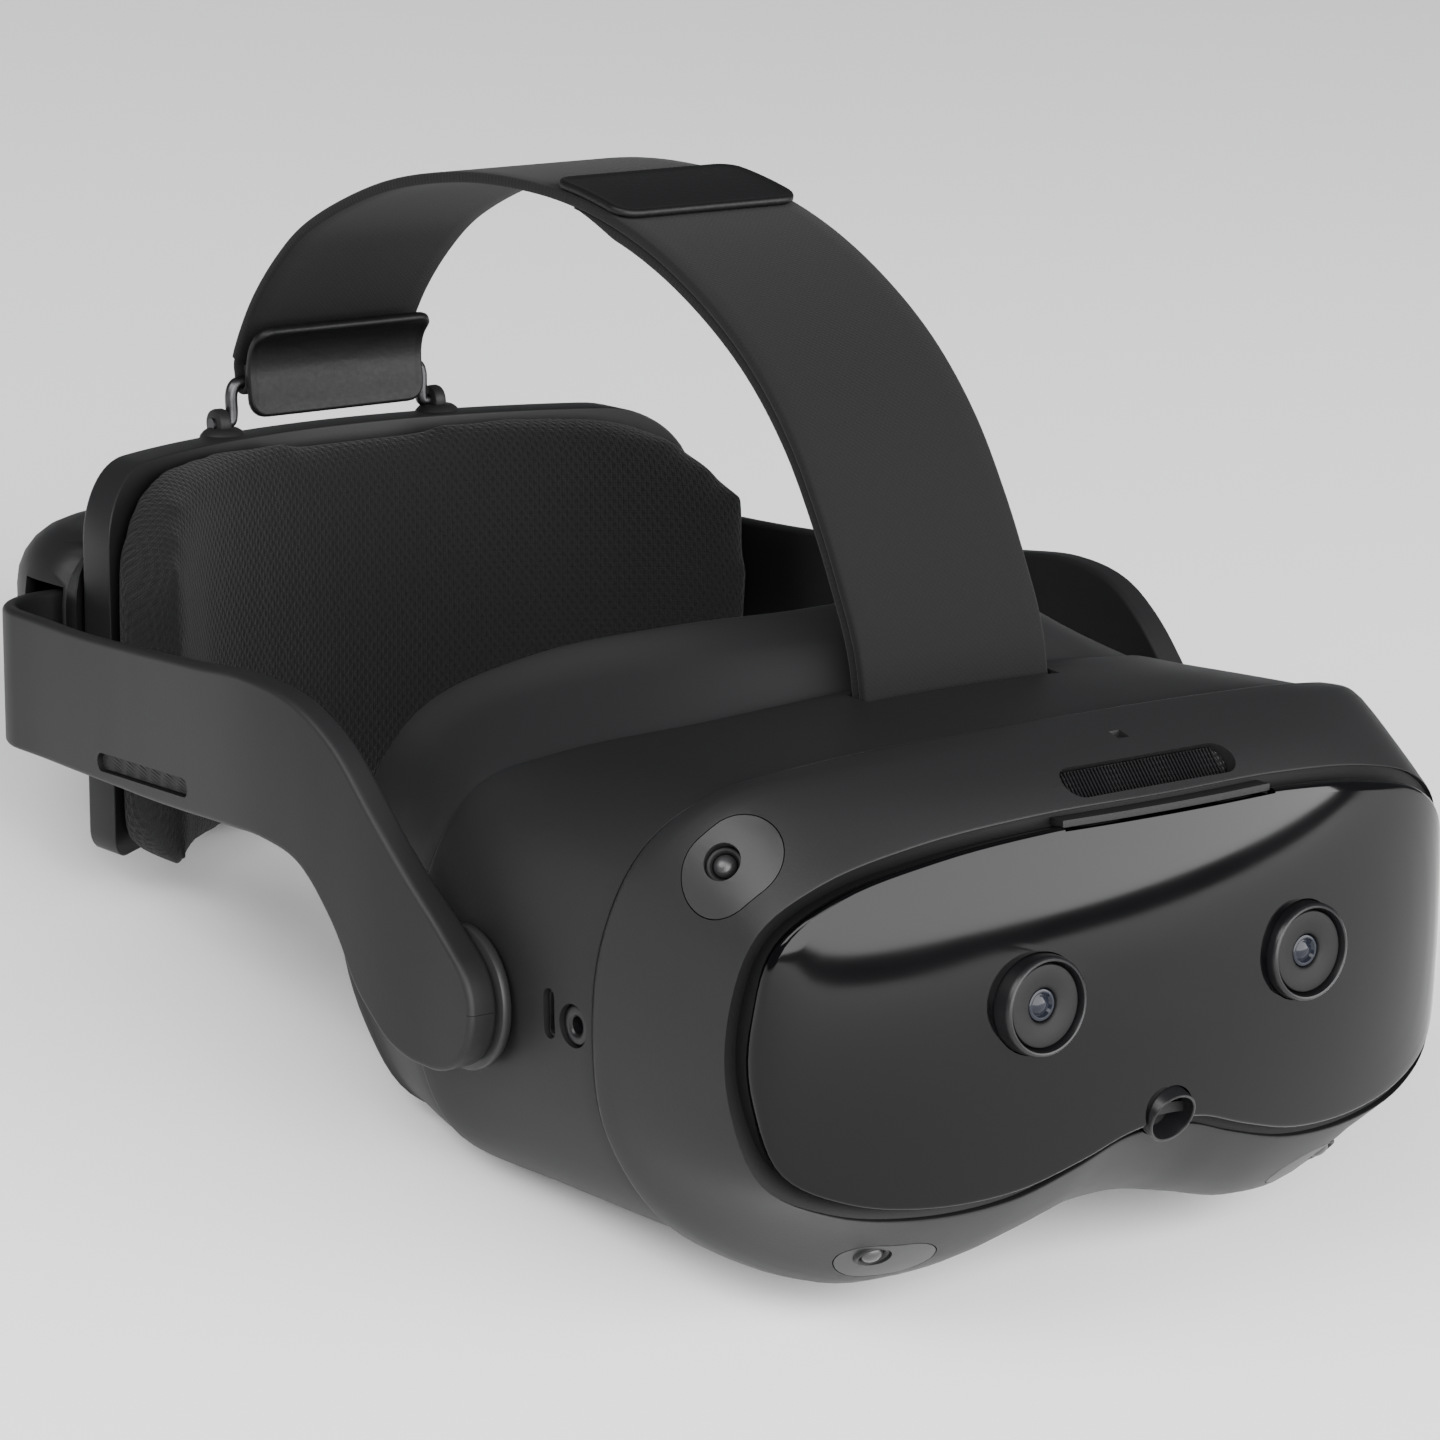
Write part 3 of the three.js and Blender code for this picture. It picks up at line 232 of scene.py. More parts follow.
def spline(points, steps, closed=False):
    """Samples of a centripetal curve through points, which may be whole rings of points."""
    p = np.asarray(points, float)
    if closed:
        before, here = np.roll(p, 1, 0), p
        after, later = np.roll(p, -1, 0), np.roll(p, -2, 0)
    else:
        padded = np.concatenate([2 * p[:1] - p[1:2], p, 2 * p[-1:] - p[-2:-1]])
        before, here, after, later = padded[:-3], padded[1:-2], padded[2:-1], padded[3:]

    def gap(a, b):
        return np.maximum(np.linalg.norm(b - a, axis=-1, keepdims=True), 1e-6) ** 0.5

    g0, g1, g2 = gap(before, here), gap(here, after), gap(after, later)
    start = ((here - before) / g0 - (after - before) / (g0 + g1) + (after - here) / g1) * g1
    end = ((after - here) / g1 - (later - here) / (g1 + g2) + (later - after) / g2) * g1
    rows = []
    for k in range(steps):
        t = k / steps
        rows.append(
            (2 * t**3 - 3 * t**2 + 1) * here + (t**3 - 2 * t**2 + t) * start
            + (3 * t**2 - 2 * t**3) * after + (t**3 - t**2) * end)
    samples = np.stack(rows, axis=1).reshape(-1, *p.shape[1:])
    return samples if closed else np.concatenate([samples, p[-1:]])


def ring(half):
    """A smooth closed ring through a half outline and its mirror image."""
    left = np.array(half, float)
    right = left[-2:0:-1] * (-1, 1, 1)
    return spline(np.concatenate([left, right]), RING_STEPS, closed=True)


def inset(points, inward, back=0):
    """Moves a ring towards the middle of its section, and back along Y."""
    radius = np.hypot(points[:, 0], points[:, 2] - CENTRE_Z)
    scale = (radius - inward) / radius
    moved = points.copy()
    moved[:, 0] *= scale
    moved[:, 1] += back
    moved[:, 2] = CENTRE_Z + (points[:, 2] - CENTRE_Z) * scale
    return moved


def blend_rings(first, second, share, inward=0):
    return inset(first + (second - first) * share, inward)


def profile_rows(profile, steps=3):
    """Rows of a closed skin from (ring, corner) pairs. A corner is rounded off over that many millimetres;
    a ring with no corner is passed through smoothly."""
    rows = []
    count = len(profile)
    for i, (here, corner) in enumerate(profile):
        if corner is None:
            rows.append(here)
            continue
        for other in (profile[i - 1][0], profile[(i + 1) % count][0]):
            step = other - here
            length = np.linalg.norm(step, axis=-1, keepdims=True)
            rows.append(here + step / length * np.minimum(corner, 0.4 * length))
        rows.insert(-1, 0.5 * here + 0.25 * (rows[-2] + rows[-1]))
    return spline(rows, steps, closed=True)


def arc_y(x, half_width, side_y, middle_y):
    """The circular arc in plan that crosses the middle at middle_y and the sides at side_y."""
    rise = middle_y - side_y
    radius = (half_width**2 + rise**2) / (2 * rise)
    return middle_y - radius + np.sqrt(radius**2 - np.minimum(np.abs(x), radius) ** 2)


# ---------------- meshes


def placed(name, data):
    """An object in the scene for some data."""
    thing = bpy.data.objects.new(name, data)
    bpy.context.scene.collection.objects.link(thing)
    return thing


def mesh_piece(name, points, faces, angle=35):
    """A smooth-shaded object from millimetre points, with edges sharper than angle kept crisp."""
    data = bpy.data.meshes.new(name)
    data.from_pydata(to_row(points).tolist(), [], [list(map(int, f)) for f in faces])
    piece = placed(name, data)
    tidy(piece, angle)
    return piece


def tidy(piece, angle=35):
    """Merges doubles, turns faces outward and shades smooth up to an angle."""
    bm = bmesh.new()
    bm.from_mesh(piece.data)
    bmesh.ops.remove_doubles(bm, verts=bm.verts, dist=2e-6)
    bmesh.ops.recalc_face_normals(bm, faces=bm.faces)
    bm.to_mesh(piece.data)
    bm.free()
    for polygon in piece.data.polygons:
        polygon.use_smooth = True
    piece.data.set_sharp_from_angle(angle=math.radians(angle))


def grid_faces(rows, columns, wrap_rows, wrap_columns):
    faces = []
    for r in range(rows if wrap_rows else rows - 1):
        for c in range(columns if wrap_columns else columns - 1):
            a, b = r * columns, ((r + 1) % rows) * columns
            d = (c + 1) % columns
            faces.append((a + c, b + c, b + d, a + d))
    return faces


def skin(name, rows, closed=True, angle=35):
    """A mesh over rings of points. A closed stack joins up; an open one is capped at both ends."""
    rows = np.asarray(rows)
    count, columns = rows.shape[:2]
    points = rows.reshape(-1, 3)
    faces = grid_faces(count, columns, closed, True)
    if not closed:
        points = np.concatenate([points, [rows[0].mean(0)], [rows[-1].mean(0)]])
        last = (count - 1) * columns
        for c in range(columns):
            d = (c + 1) % columns
            faces.append((len(points) - 2, c, d))
            faces.append((len(points) - 1, last + d, last + c))
    return mesh_piece(name, points, faces, angle)


def applied(piece):
    """Bakes a piece's modifiers into its mesh."""
    graph = bpy.context.evaluated_depsgraph_get()
    baked = bpy.data.meshes.new_from_object(piece.evaluated_get(graph))
    piece.modifiers.clear()
    piece.data = baked
    return piece


def modified(piece, kind, **settings):
    """Adds a modifier and applies it at once."""
    modifier = piece.modifiers.new(kind.lower(), kind)
    for key, value in settings.items():
        setattr(modifier, key, value)
    return applied(piece)


def carve(piece, tools, operation="DIFFERENCE", angle=35):
    """Cuts (or keeps) what the tools cover, then throws the tools away."""
    for tool in tools:
        modified(piece, "BOOLEAN", object=tool, operation=operation, solver="EXACT")
        bpy.data.objects.remove(tool)
    tidy(piece, angle)
    return piece


def copy_of(piece, name):
    twin = piece.copy()
    twin.data = piece.data.copy()
    twin.name = name
    bpy.context.scene.collection.objects.link(twin)
    return twin


def mirrored(piece, name):
    """The same piece on the other side of the headset."""
    twin = copy_of(piece, name)
    twin.data.transform(Matrix.Scale(-1, 4, (1, 0, 0)))
    twin.data.flip_normals()
    return twin


def refined(node, bevel=0.35, segments=2, angle=32):
    """A copy of a CAD node with softened edges, named so that it stands for the node."""
    piece = copy_of(nodes[node], node + FINE)
    piece.parent = None
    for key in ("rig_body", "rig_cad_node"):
        if key in piece:
            del piece[key]
    piece.data.materials.clear()
    tidy(piece, angle)
    if bevel:
        modified(piece, "BEVEL", width=bevel / 1000, segments=segments, limit_method="ANGLE",
                 angle_limit=math.radians(40), harden_normals=False)
        tidy(piece, angle)
    return piece


def axes_facing(direction):
    """Two directions square to one another and to the given one."""
    z = np.array(direction, float)
    z /= np.linalg.norm(z)
    x = np.cross((0, 0, 1), z) if abs(z[2]) < 0.95 else np.cross((0, 1, 0), z)
    x /= np.linalg.norm(x)
    return x, np.cross(z, x), z


def lathe(name, profile, direction, place, sides=72, angle=28):
    """Turns (radius, height) points about a direction, from a place."""
    x, y, z = axes_facing(direction)
    place = np.array(place, float)
    rows = []
    for radius, height in profile:
        turn = np.linspace(0, 2 * math.pi, sides, endpoint=False)[:, None]
        rows.append(place + z * height + max(radius, 0.001) * (np.cos(turn) * x + np.sin(turn) * y))
    closed = profile[0] == profile[-1]
    return skin(name, rows[:-1] if closed else rows, closed, angle)


def bore(radius, start, end, direction, place, sides=48):
    """A round cutting tool."""
    return lathe("tool", [(0, start), (radius, start), (radius, end), (0, end)], direction, place, sides)


def stadium(length, radius, arc=14):
    """Outline of a slot with round ends, as (along, across)."""
    half = length / 2 - radius
    turn = np.linspace(-math.pi / 2, math.pi / 2, arc)
    right = np.stack([half + radius * np.cos(turn), radius * np.sin(turn)], -1)
    return np.concatenate([right, -right])


def rounded_rectangle(x0, x1, z0, z1, radii, arc=10):
    """Outline with corner radii given as (upper, lower)."""
    upper, lower = radii
    corners = [(x1, z1, upper, 0), (x0, z1, upper, 1), (x0, z0, lower, 2), (x1, z0, lower, 3)]
    points = []
    for x, z, radius, quarter in corners:
        centre = np.array([x + (radius if x == x0 else -radius), z + (radius if z == z0 else -radius)])
        for turn in np.linspace(quarter, quarter + 1, arc) * math.pi / 2:
            points.append(centre + radius * np.array([math.cos(turn), math.sin(turn)]))
    return np.array(points)


def even_outline(outline, step=1.5):
    """The same closed outline with evenly spaced points."""
    loop = np.concatenate([outline, outline[:1]])
    lengths = np.concatenate([[0], np.cumsum(np.linalg.norm(np.diff(loop, axis=0), axis=1))])
    marks = np.linspace(0, lengths[-1], int(lengths[-1] / step), endpoint=False)
    return np.stack([np.interp(marks, lengths, loop[:, k]) for k in range(loop.shape[1])], -1)


def shrink(outline, amount):
    """Moves a closed counter-clockwise outline inward."""
    along = np.roll(outline, -1, 0) - np.roll(outline, 1, 0)
    normal = np.stack([-along[:, 1], along[:, 0]], -1)
    normal /= np.maximum(np.linalg.norm(normal, axis=1, keepdims=True), 1e-9)
    return outline + normal * amount


def plate(name, outline, front, back, edge, shares=(0.93, 0.8, 0.62, 0.42, 0.2), middle=(0, 0), angle=35):
    """A curved plate over an (x, z) outline, between two surfaces y = front(x, z) and back(x, z), with
    its rim rounded at front and back over edge = (front radius, back radius)."""
    def row(points, surface, shift):
        x, z = points[:, 0], points[:, 1]
        return np.stack([x, surface(x, z) + shift, z], -1)

    middle = np.array(middle, float)
    rows = []
    for surface, radius, sign in ((front, edge[0], 1), (back, edge[1], -1)):
        side = []
        for share in shares:
            side.append(row(middle + (shrink(outline, radius) - middle) * share, surface, 0))
        for turn in np.linspace(0, math.pi / 2, 6):
            rim = shrink(outline, radius * (1 - math.sin(turn)))
            side.append(row(rim, surface, sign * radius * (1 - math.cos(turn))))
        side[:len(shares)] = side[:len(shares)][::-1]
        rows += side if sign > 0 else side[::-1]
    return skin(name, rows, closed=False, angle=angle)


def along_curve(curve):
    """How far along a (y, z) curve each point lies, and the direction square to the curve there."""
    steps = np.linalg.norm(np.diff(curve, axis=0), axis=1)
    along = np.gradient(curve, axis=0)
    along /= np.linalg.norm(along, axis=1, keepdims=True)
    return np.concatenate([[0], np.cumsum(steps)]), np.stack([-along[:, 1], along[:, 0]], -1)


def ribbon(name, curve, width, outer, inner, edge=0.7, taper=0.0):
    """A strip of constant width along a (y, z) curve, between two depths inward of it, thinning out over the
    last taper millimetres. Its points carry their distance along and across the strip, for the weave."""
    length, outward = along_curve(curve)
    half, bevel = width / 2, 0.25 * edge
    across = np.linspace(-half + edge, half - edge, 13)
    section = [(x, outer) for x in across] + [(half - bevel, outer + bevel), (half, outer + edge)]
    section += [(half, inner - edge), (half - bevel, inner - bevel)] + [(x, inner) for x in across[::-1]]
    section += [(-half + bevel, inner - bevel), (-half, inner - edge)]
    section += [(-half, outer + edge), (-half + bevel, outer + bevel)]
    fullness = np.clip((length[-1] - length) / taper, 0.12, 1) if taper else np.ones_like(length)
    rows = []
    for point, into, share in zip(curve, -outward, fullness):
        depths = [(x, outer + share * (depth - outer)) for x, depth in section]
        rows.append([(x, point[0] + into[0] * depth, point[1] + into[1] * depth) for x, depth in depths])
    piece = skin(name, rows, closed=False, angle=60)
    weave = np.concatenate([
        np.array([[x, s, 0] for s in length for x, _ in section]), [[0, 0, 0], [0, length[-1], 0]]])
    cloth_map(piece, weave)
    return piece


def cloth_map(piece, values):
    """Stores where each point lies in the flat cloth, in millimetres, for the weave to follow."""
    attribute = piece.data.attributes.new("cloth", "FLOAT_VECTOR", "POINT")
    attribute.data.foreach_set("vector", np.asarray(values, np.float32).ravel())


def from_row(points):
    """Metres in the model's frame back to millimetres in the wearer's frame."""
    p = np.asarray(points, float) * 1000
    back, up = p[:, 1] + STAND_Y, p[:, 2] - STAND_Z
    y = back * math.cos(REST_PITCH) - up * math.sin(REST_PITCH)
    z = back * math.sin(REST_PITCH) + up * math.cos(REST_PITCH)
    return np.stack([p[:, 0], y, z], -1)


def points_of(piece):
    values = np.empty(len(piece.data.vertices) * 3)
    piece.data.vertices.foreach_get("co", values)
    return values.reshape(-1, 3)


# ---------------- materials


class Shader:
    """A Principled material with a few helpers for procedural detail, in object or cloth coordinates."""

    def __init__(self, name, color, roughness, metallic=0.0):
        self.material = bpy.data.materials.new(name)
        self.material.use_nodes = True
        self.nodes = self.material.node_tree.nodes
        self.links = self.material.node_tree.links
        self.main = self.nodes["Principled BSDF"]
        self.set(Base_Color=(*color, 1), Roughness=roughness, Metallic=metallic)
        self.color = color
        self.place = self.nodes.new("ShaderNodeTexCoord").outputs["Object"]

    def use_cloth(self):
        attribute = self.nodes.new("ShaderNodeAttribute")
        attribute.attribute_name = "cloth"
        self.place = attribute.outputs["Vector"]
        return self

    def set(self, **values):
        for name, value in values.items():
            self.main.inputs[name.replace("_", " ")].default_value = value
        return self

    def texture(self, kind, scale, detail, turn=(0, 0, 0), stretch=(1, 1, 1)):
        mapping = self.nodes.new("ShaderNodeMapping")
        mapping.inputs["Rotation"].default_value = turn
        mapping.inputs["Scale"].default_value = stretch
        self.links.new(self.place, mapping.inputs["Vector"])
        texture = self.nodes.new(kind)
        texture.inputs["Scale"].default_value = scale
        texture.inputs["Detail"].default_value = detail
        self.links.new(mapping.outputs["Vector"], texture.inputs["Vector"])
        return texture

    def noise(self, scale, detail=3, stretch=(1, 1, 1)):
        return self.texture("ShaderNodeTexNoise", scale, detail, stretch=stretch).outputs["Fac"]

    def bands(self, scale, turn, distortion=0.0):
        texture = self.texture("ShaderNodeTexWave", scale, 1, turn)
        texture.inputs["Distortion"].default_value = distortion
        return texture.outputs["Fac"]

    def mix(self, first, second, operation="MULTIPLY"):
        node = self.nodes.new("ShaderNodeMath")
        node.operation = operation
        for socket, value in zip(node.inputs, (first, second)):
            if isinstance(value, (int, float)):
                socket.default_value = value
            else:
                self.links.new(value, socket)
        return node.outputs["Value"]

    def ramp(self, value, low, high):
        node = self.nodes.new("ShaderNodeMapRange")
        node.inputs["To Min"].default_value = low
        node.inputs["To Max"].default_value = high
        self.links.new(value, node.inputs["Value"])
        return node.outputs["Result"]

    def tint(self, value, dark, light):
        """Base colour from dark to light times the piece's colour."""
        node = self.nodes.new("ShaderNodeMix")
        node.data_type = "RGBA"
        node.inputs["A"].default_value = (*[c * dark for c in self.color], 1)
        node.inputs["B"].default_value = (*[c * light for c in self.color], 1)
        self.links.new(value, node.inputs["Factor"])
        self.links.new(node.outputs["Result"], self.main.inputs["Base Color"])
        return self

    def rough(self, value, low, high):
        self.links.new(self.ramp(value, low, high), self.main.inputs["Roughness"])
        return self

    def bump(self, value, distance, strength=1.0):
        node = self.nodes.new("ShaderNodeBump")
        node.inputs["Distance"].default_value = distance
        node.inputs["Strength"].default_value = strength
        self.links.new(value, node.inputs["Height"])
        self.links.new(node.outputs["Normal"], self.main.inputs["Normal"])
        return self


def moulded(name, color, roughness, grain=2600, depth=0.00004, gloss=0.3):
    """Plastic with a fine spark-eroded texture and a slight drift in shade and gloss."""
    shader = Shader(name, color, roughness).set(Specular_IOR_Level=gloss)
    fine = shader.noise(grain, 2)
    broad = shader.noise(14, 2)
    shader.tint(broad, 0.9, 1.12)
    shader.rough(broad, roughness - 0.04, roughness + 0.05)
    shader.bump(fine, depth, 0.6)
    return shader.material


def polished(name, color, roughness=0.05, gloss=0.25):
    """Glossy plastic, with the faint waviness of a moulded part."""
    shader = Shader(name, color, roughness).set(Specular_IOR_Level=gloss)
    shader.tint(shader.noise(20, 2), 0.8, 1.3)
    shader.rough(shader.noise(30, 2), roughness * 0.7, roughness * 1.6)
    return shader.material


def coated_glass(name, color, roughness=0.12):
    """A dark lens with a bluish coating."""
    shader = Shader(name, color, roughness).set(Specular_IOR_Level=0.25)
    shader.tint(shader.noise(300, 1), 0.7, 1.5)
    return shader.material


def clear_glass(name):
    shader = Shader(name, (0.8, 0.83, 0.86), 0.04).set(Transmission_Weight=0.85, IOR=1.49)
    shader.rough(shader.noise(60, 2), 0.02, 0.07)
    return shader.material


def knitted(name, color):
    """Black knit: two crossing sets of ribs with fine yarn between them. Its colour follows the knit's
    height, as painted shade in the hollows and painted highlight on the ribs.
    """
    shader = Shader(name, color, 0.92).use_cloth().set(Sheen_Weight=0.04, Specular_IOR_Level=0.2)
    first = shader.bands(0.19, (0, 0, math.radians(38)), 0.8)
    second = shader.bands(0.19, (0, 0, math.radians(-38)), 0.8)
    ribs = shader.mix(first, second, "MAXIMUM")
    yarn = shader.mix(shader.bands(0.55, (0, 0, 0), 1.5), shader.bands(0.55, (0, 0, math.pi / 2), 1.5))
    fuzz = shader.noise(1.6, 4)
    fine = shader.mix(shader.mix(yarn, 0.25), shader.mix(fuzz, 0.5), "ADD")
    height = shader.mix(shader.mix(ribs, 0.6), fine, "ADD")
    # Painted shade and highlight: darker in the hollows of the knit, lighter on its ribs and yarn.
    shader.tint(height, 0.45, 1.7)
    shader.bump(height, 0.0005, 0.8)
    return shader.material


def woven(name, color):
    """Brushed webbing: a fine diagonal twill under short fibres, darker in the hollows of the weave as
    painted shade and lighter on the raised threads as painted highlight.
    """
    shader = Shader(name, color, 0.88).use_cloth().set(Sheen_Weight=0.04, Specular_IOR_Level=0.2)
    warp = shader.bands(0.38, (0, 0, math.radians(45)), 0.8)
    weft = shader.bands(0.38, (0, 0, math.radians(-45)), 0.8)
    twill = shader.mix(warp, weft)
    fibres = shader.noise(2.2, 5)
    height = shader.mix(shader.mix(twill, 0.5), fibres, "ADD")
    # Painted shade and highlight: the tint follows the weave's height, darker in its hollows and lighter on
    # its raised threads.
    shader.tint(height, 0.7, 1.25)
    shader.bump(height, 0.0001, 0.7)
    return shader.material


def soft_tab(name, color):
    """A moulded tab with a faint leather-like grain."""
    shader = Shader(name, color, 0.5).set(Specular_IOR_Level=0.2)
    grain = shader.noise(900, 4)
    shader.tint(grain, 0.85, 1.15)
    shader.rough(grain, 0.4, 0.58)
    shader.bump(grain, 0.00006, 0.8)
    return shader.material


def machined(name, color, roughness, scratch=(1, 1, 60)):
    """Metal with fine brushing along one direction."""
    shader = Shader(name, color, roughness, metallic=1.0)
    lines = shader.noise(60, 4, scratch)
    shader.tint(lines, 0.8, 1.15)
    shader.rough(lines, roughness - 0.08, roughness + 0.1)
    shader.bump(lines, 0.00002, 0.5)
    return shader.material


def circuit_board(name):
    shader = Shader(name, (0.01, 0.06, 0.03), 0.35)
    tracks = shader.bands(160, (0, 0, 0.3), 6)
    shader.tint(tracks, 0.6, 1.6)
    shader.bump(tracks, 0.00005, 0.5)
    return shader.material


def acoustic_mesh(name):
    """A tight woven grille, darker between the wires as painted shade and lighter on them as painted
    highlight.
    """
    shader = Shader(name, (0.004, 0.004, 0.0042), 0.6).set(Specular_IOR_Level=0.3)
    wires = shader.mix(shader.bands(420, (0, 0, 0)), shader.bands(420, (0, math.pi / 2, 0)))
    # Painted shade in the openings between the wires, and painted highlight on the wires themselves.
    shader.tint(wires, 0.3, 1.8)
    shader.bump(wires, 0.0002, 1.0)
    return shader.material


MATERIALS = {
    "shell": moulded("shell", (0.008, 0.008, 0.0084), 0.5, gloss=0.2),
    "shell_front": moulded("shell_front", (0.0092, 0.0092, 0.0096), 0.46, gloss=0.18),
    "shell_soft": moulded("shell_soft", (0.0075, 0.0075, 0.008), 0.6),
    "insert": moulded("insert", (0.013, 0.013, 0.0135), 0.4, grain=3200, depth=0.00002),
    "trim_dark": polished("trim_dark", (0.004, 0.004, 0.0045), 0.3, 0.3),
    "window": polished("window", (0.001, 0.001, 0.0012), 0.05, 0.2),
    "lens": coated_glass("lens", (0.006, 0.007, 0.011)),
    "satin_lens": polished("satin_lens", (0.02, 0.02, 0.021), 0.28, 0.5),
    "channel": moulded("channel", (0.0035, 0.0035, 0.0038), 0.6, gloss=0.2),
    "eye_lens": clear_glass("eye_lens"),
    "mesh": acoustic_mesh("mesh"),
    "knit": knitted("knit", (0.0024, 0.0024, 0.0026)),
    "webbing": woven("webbing", (0.0026, 0.0026, 0.0028)),
    "tab": soft_tab("tab", (0.0024, 0.0024, 0.0026)),
    "steel": machined("steel", (0.06, 0.06, 0.063), 0.38),
    "aluminium": machined("aluminium", (0.5, 0.51, 0.53), 0.38),
    "board": circuit_board("board"),
}


def finish(piece, slot, body, *replaced):
    """Paints a piece, fixes it to its body and hides the CAD nodes it stands for. A piece named NODE_fine
    stands for that node."""
    piece.data.materials.clear()
    piece.data.materials.append(MATERIALS[slot])
    if body:
        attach(piece, body)
    if piece.name.endswith(FINE):
        replaced = (piece.name.removesuffix(FINE),)
    if replaced:
        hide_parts(*replaced)
    return piece


# ---------------- visor, front

seam = ring(SEAM)
shoulder = ring(SHOULDER)
face = ring(FACE)
opening = ring(OPENING)
crease = ring(CREASE)
step_ring = ring(STEP)
brim = ring(BRIM)

def window_y(x, z):
    across = np.minimum(1, np.abs(x) / WINDOW["half_width"])
    bulge = WINDOW["depth"] * np.sqrt(1 - across**2)
    return WINDOW["edge_y"] - bulge + 2 * ((z - 2) / 33) ** 2


def tool_axes(direction):
    """The axes a prism turns its outline about, matching the CAD's shortest turn from straight up."""
    z = Vector(direction).normalized()
    turn = Vector((0, 0, 1)).rotation_difference(z)
    return np.array(turn @ Vector((1, 0, 0))), np.array(turn @ Vector((0, 1, 0))), np.array(z)


def turned_prism(name, outline, direction, place, low, high, spin=0):
    u0, v0, z = tool_axes(direction)
    u = u0 * math.cos(spin) + v0 * math.sin(spin)
    v = -u0 * math.sin(spin) + v0 * math.cos(spin)
    base = np.array(place, float) + outline[:, :1] * u + outline[:, 1:2] * v
    return skin(name, [base + z * low, base + z * high], closed=False)


def tracking_tool(site, grow):
    length, radius = site["size"]
    outline = stadium(length + 2 * grow, radius + grow, 24)
    return turned_prism("tool", outline, site["direction"], site["place"], -3.8 - grow, 8, site["spin"])


def hood_tool():
    return bore(HOOD["radius"] + GAP, -16, 6, HOOD["direction"], HOOD["place"])


def box_tool(x0, x1, y0, y1, z0, z1):
    base = np.array([(x0, y0, z0), (x1, y0, z0), (x1, y1, z0), (x0, y1, z0)], float)
    return skin("tool", [base, base + (0, 0, z1 - z0)], closed=False)


def bezel_skin():
    deep = CHANNEL["ledge_back"]
    edge = blend_rings(seam, shoulder, 0.3, -1.4)
    return skin("front_bezel_fine", profile_rows([
        (opening, 1.1), (face, None), (shoulder, None), (edge, 0.8), (seam, 0.3),
        (inset(seam, SHELL_WALL), 0.4),
        (inset(shoulder, SHELL_WALL, 0.6), None), (inset(face, SHELL_WALL, 1.6), None),
        (inset(opening, 0, deep), 0.3), (inset(opening, CHANNEL["ledge"], deep), 0.3),
        (inset(opening, CHANNEL["ledge"], CHANNEL["depth"]), 0.3),
        (inset(opening, 0, CHANNEL["depth"]), 0.5),
    ]))


def build_bezel():
    bezel = bezel_skin()
    for level, site in TRACKING.items():
        insert = copy_of(bezel, f"tracking_insert_{level}_left_fine")
        carve(insert, [tracking_tool(site, 0)], "INTERSECT")
        carve(insert, [bore(TRACKING_HOLE, -6, 6, site["lens_direction"], site["lens"], 40)])
        finish(mirrored(insert, f"tracking_insert_{level}_right_fine"), "insert", "visor")
        finish(insert, "insert", "visor")
    slot = stadium(VENT["length"], VENT["radius"], 20)
    tools = [hood_tool(), box_tool(*MICROPHONE_HOLE)]
    tools.append(turned_prism("tool", slot, VENT["direction"], VENT["place"], -4, 6))
    for site in TRACKING.values():
        tool = tracking_tool(site, TRACKING_SEAM)
        tools += [tool, mirrored(tool, "tool")]
    finish(carve(bezel, tools), "shell_front", "visor")


def build_tracking_lenses():
    ring_profile = [
        (2.3, -2.6), (3.5, -2.6), (3.5, 0.55), (3.4, 0.8), (3.15, 0.9), (2.75, 0.8), (2.45, 0.5), (2.3, 0.1),
        (2.3, -2.6),
    ]
    dome = [
        (0, -2.4), (2.2, -2.4), (2.2, 0.1), (2.05, 0.6), (1.7, 1.05), (1.2, 1.35), (0.6, 1.52), (0, 1.57)]
    for level, site in TRACKING.items():
        for side, sign in SIDES:
            direction = np.array(site["lens_direction"]) * (sign, 1, 1)
            place = np.array(site["lens"]) * (sign, 1, 1) + direction * site["lift"]
            rim = lathe(f"tracking_rim_{level}_{side}", ring_profile, direction, place, 48)
            finish(rim, "shell", "visor")
            eye = lathe(f"tracking_lens_{level}_{side}_fine", dome, direction, place, 48)
            finish(eye, "satin_lens", "visor")


def build_window():
    outline = ring(WINDOW_LINE)[::-1][:, [0, 2]]
    thickness = WINDOW["thickness"]
    shares = (0.97, 0.93, 0.88, 0.8, 0.7, 0.58, 0.45, 0.3, 0.15)
    window = plate("front_window_fine", outline, window_y, lambda x, z: window_y(x, z) + thickness,
                   (WINDOW["rim"], 0.4), shares, middle=(0, -2))
    tools = [box_tool(*BRIDGE_SLOT), hood_tool()]
    for sign in (-1, 1):
        tools.append(bore(CAMERA_BORE, -35, 0, (0, 1, 0), (sign * CAMERA_SPACING / 2, -50, 0), 64))
    finish(carve(window, tools), "window", "visor")


def build_channel():
    """The floor of the channel round the window, and the wall under the window's edge: real surfaces, in a
    material darker than the shell as painted shade for the recess.
    """
    floor_rows = [
        inset(opening, -0.3, 1.9), inset(opening, 6, 1.9), inset(opening, 6, 3.4), inset(opening, -0.3, 3.4)]
    # Painted shade: the channel material is darker than the shell to show the recess in shade.
    finish(skin("window_channel", floor_rows), "channel", "visor")
    line = ring(WINDOW_LINE)
    line[:, 1] = window_y(line[:, 0], line[:, 2])
    wall_rows = [inset(line, 1, 1.4), inset(line, 1, 9), inset(line, 3, 9), inset(line, 3, 1.4)]
    finish(skin("window_seat", wall_rows), "channel", "visor")


